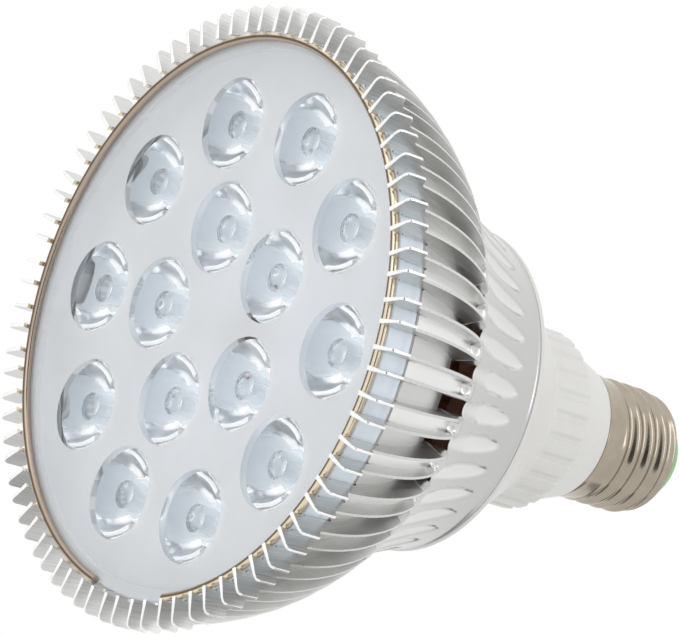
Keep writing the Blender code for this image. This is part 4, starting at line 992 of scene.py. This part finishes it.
def white_world():
    """World that is white where it is seen, a little dimmer as light, and brighter above in reflections."""
    world = bpy.data.worlds.new("studio")
    bpy.context.scene.world = world
    world.use_nodes = True
    nodes, links = world.node_tree.nodes, world.node_tree.links
    nodes.clear()
    paths = nodes.new("ShaderNodeLightPath")
    coordinates = nodes.new("ShaderNodeTexCoord")
    lift = nodes.new("ShaderNodeVectorMath")
    lift.operation = "DOT_PRODUCT"
    links.new(coordinates.outputs["Generated"], lift.inputs[0])
    lift.inputs[1].default_value = camera_axes().transposed() @ Vector((0.0, -1.0, 0.0))
    reflected = nodes.new("ShaderNodeMapRange")
    reflected.inputs["From Min"].default_value = -1.0
    reflected.inputs["From Max"].default_value = 1.0
    reflected.inputs["To Min"].default_value = REFLECTED_BELOW
    reflected.inputs["To Max"].default_value = REFLECTED_ABOVE
    links.new(lift.outputs["Value"], reflected.inputs["Value"])
    metal = nodes.new("ShaderNodeMix")
    links.new(paths.outputs["Is Glossy Ray"], metal.inputs["Factor"])
    metal.inputs["A"].default_value = WORLD_LIGHT
    links.new(reflected.outputs["Result"], metal.inputs["B"])
    seen = nodes.new("ShaderNodeMath")
    seen.operation = "MAXIMUM"
    links.new(paths.outputs["Is Camera Ray"], seen.inputs[0])
    links.new(paths.outputs["Is Transmission Ray"], seen.inputs[1])
    strength = nodes.new("ShaderNodeMix")
    links.new(seen.outputs[0], strength.inputs["Factor"])
    links.new(metal.outputs["Result"], strength.inputs["A"])
    strength.inputs["B"].default_value = 1.0
    light = nodes.new("ShaderNodeBackground")
    light.inputs["Color"].default_value = (1.0, 1.0, 1.0, 1.0)
    links.new(strength.outputs["Result"], light.inputs["Strength"])
    output = nodes.new("ShaderNodeOutputWorld")
    links.new(light.outputs[0], output.inputs["Surface"])


def light_paths():
    """Let light bounce often enough to come back out of the optics."""
    cycles = bpy.context.scene.cycles
    cycles.max_bounces = 24
    cycles.glossy_bounces = 12
    cycles.transmission_bounces = 20
    cycles.diffuse_bounces = 6
    cycles.blur_glossy = 0.0


def pale_floor():
    """Floor at the lamp's face, seen only from above, so that the photograph's camera looks past it."""
    mesh_data = bmesh.new()
    bmesh.ops.create_grid(mesh_data, x_segments=1, y_segments=1, size=FLOOR_HALF)
    material = surface("floor", (0.93, 0.93, 0.93), 0.8)
    nodes, links = material.node_tree.nodes, material.node_tree.links
    paths = nodes.new("ShaderNodeLightPath")
    side = nodes.new("ShaderNodeNewGeometry")
    front = nodes.new("ShaderNodeMath")
    front.operation = "SUBTRACT"
    links.new(paths.outputs["Is Camera Ray"], front.inputs[0])
    links.new(side.outputs["Backfacing"], front.inputs[1])
    limit = nodes.new("ShaderNodeMath")
    limit.operation = "MAXIMUM"
    limit.inputs[1].default_value = 0.0
    links.new(front.outputs[0], limit.inputs[0])
    clear = nodes.new("ShaderNodeBsdfTransparent")
    mix = nodes.new("ShaderNodeMixShader")
    links.new(limit.outputs[0], mix.inputs["Fac"])
    links.new(clear.outputs[0], mix.inputs[1])
    links.new(shader_of(material).outputs[0], mix.inputs[2])
    links.new(mix.outputs[0], nodes["Material Output"].inputs["Surface"])
    floor = finish_mesh("floor", mesh_data, [material])
    floor.location.z = -FLOOR_DROP * MM


# The lamp's pieces on the frame; the solids named here are kept and get a surface


KEPT = {
    "plate_seal": "rubber", "led_board": "board",
    "board_screw_1": "steel", "board_screw_2": "steel", "board_screw_3": "steel",
    "driver_sleeve": "brown", "driver_board": "phenolic",
    "transformer_core": "ferrite", "transformer_winding": "tape",
    "output_capacitor": "sleeve", "input_capacitor": "sleeve", "film_capacitor": "film",
    "output_choke": "copper", "rectifier": "resin", "fuse_resistor": "beige",
    "controller_chip": "resin", "power_switch": "resin",
    "led_wire_positive": "red", "led_wire_negative": "black",
    "cap_wire_live": "red", "cap_wire_neutral": "black",
}


def main():
    """Dress the lamp."""
    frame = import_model()
    surfaces = make_surfaces()
    for node, name in KEPT.items():
        kept = frame["nodes"][node]
        kept.data.materials.clear()
        kept.data.materials.append(surfaces[name])
    pieces = []
    for build in (build_fins, build_finger_ends, build_cup_wall, build_neck):
        pieces.append((build(surfaces), "heat_sink", "cast_aluminium"))
    pieces.append((build_snap_ring(surfaces), "snap_ring", "spring_bronze"))
    pieces.append((build_lens_plate(surfaces), "lens_plate", "clear_acrylic"))
    pieces += [(piece, node, "led_ceramic") for piece, node in build_leds(surfaces)]
    pieces.append((build_collar(surfaces), "collar", "white_plastic"))
    pieces.append((build_cap_shell(surfaces), "cap_shell", "nickel_plate"))
    pieces.append((build_insulator(surfaces), "cap_insulator", "green_insulator"))
    pieces.append((build_contact(surfaces), "centre_contact", "tin_contact"))
    for piece, node, slot in pieces:
        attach(piece, "root")
        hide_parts(node)
    pale_floor()
    white_world()
    area_light("key", place=(-0.5, 0.9, 0.7), width=0.8, height=0.8, watts=1.0)
    area_light("strip", place=(1.0, 0.45, 0.5), width=0.34, height=1.6, watts=3.0)
    card("dark_card", place=(0.16, 0.22, 0.93), width=0.40, height=1.4, shade=0.05)
    card("floor_card", place=(0.15, -0.85, -0.42), width=0.5, height=0.42, shade=0.35)
    light_paths()
    bpy.context.scene.view_settings.view_transform = "Standard"
    place_camera()


main()
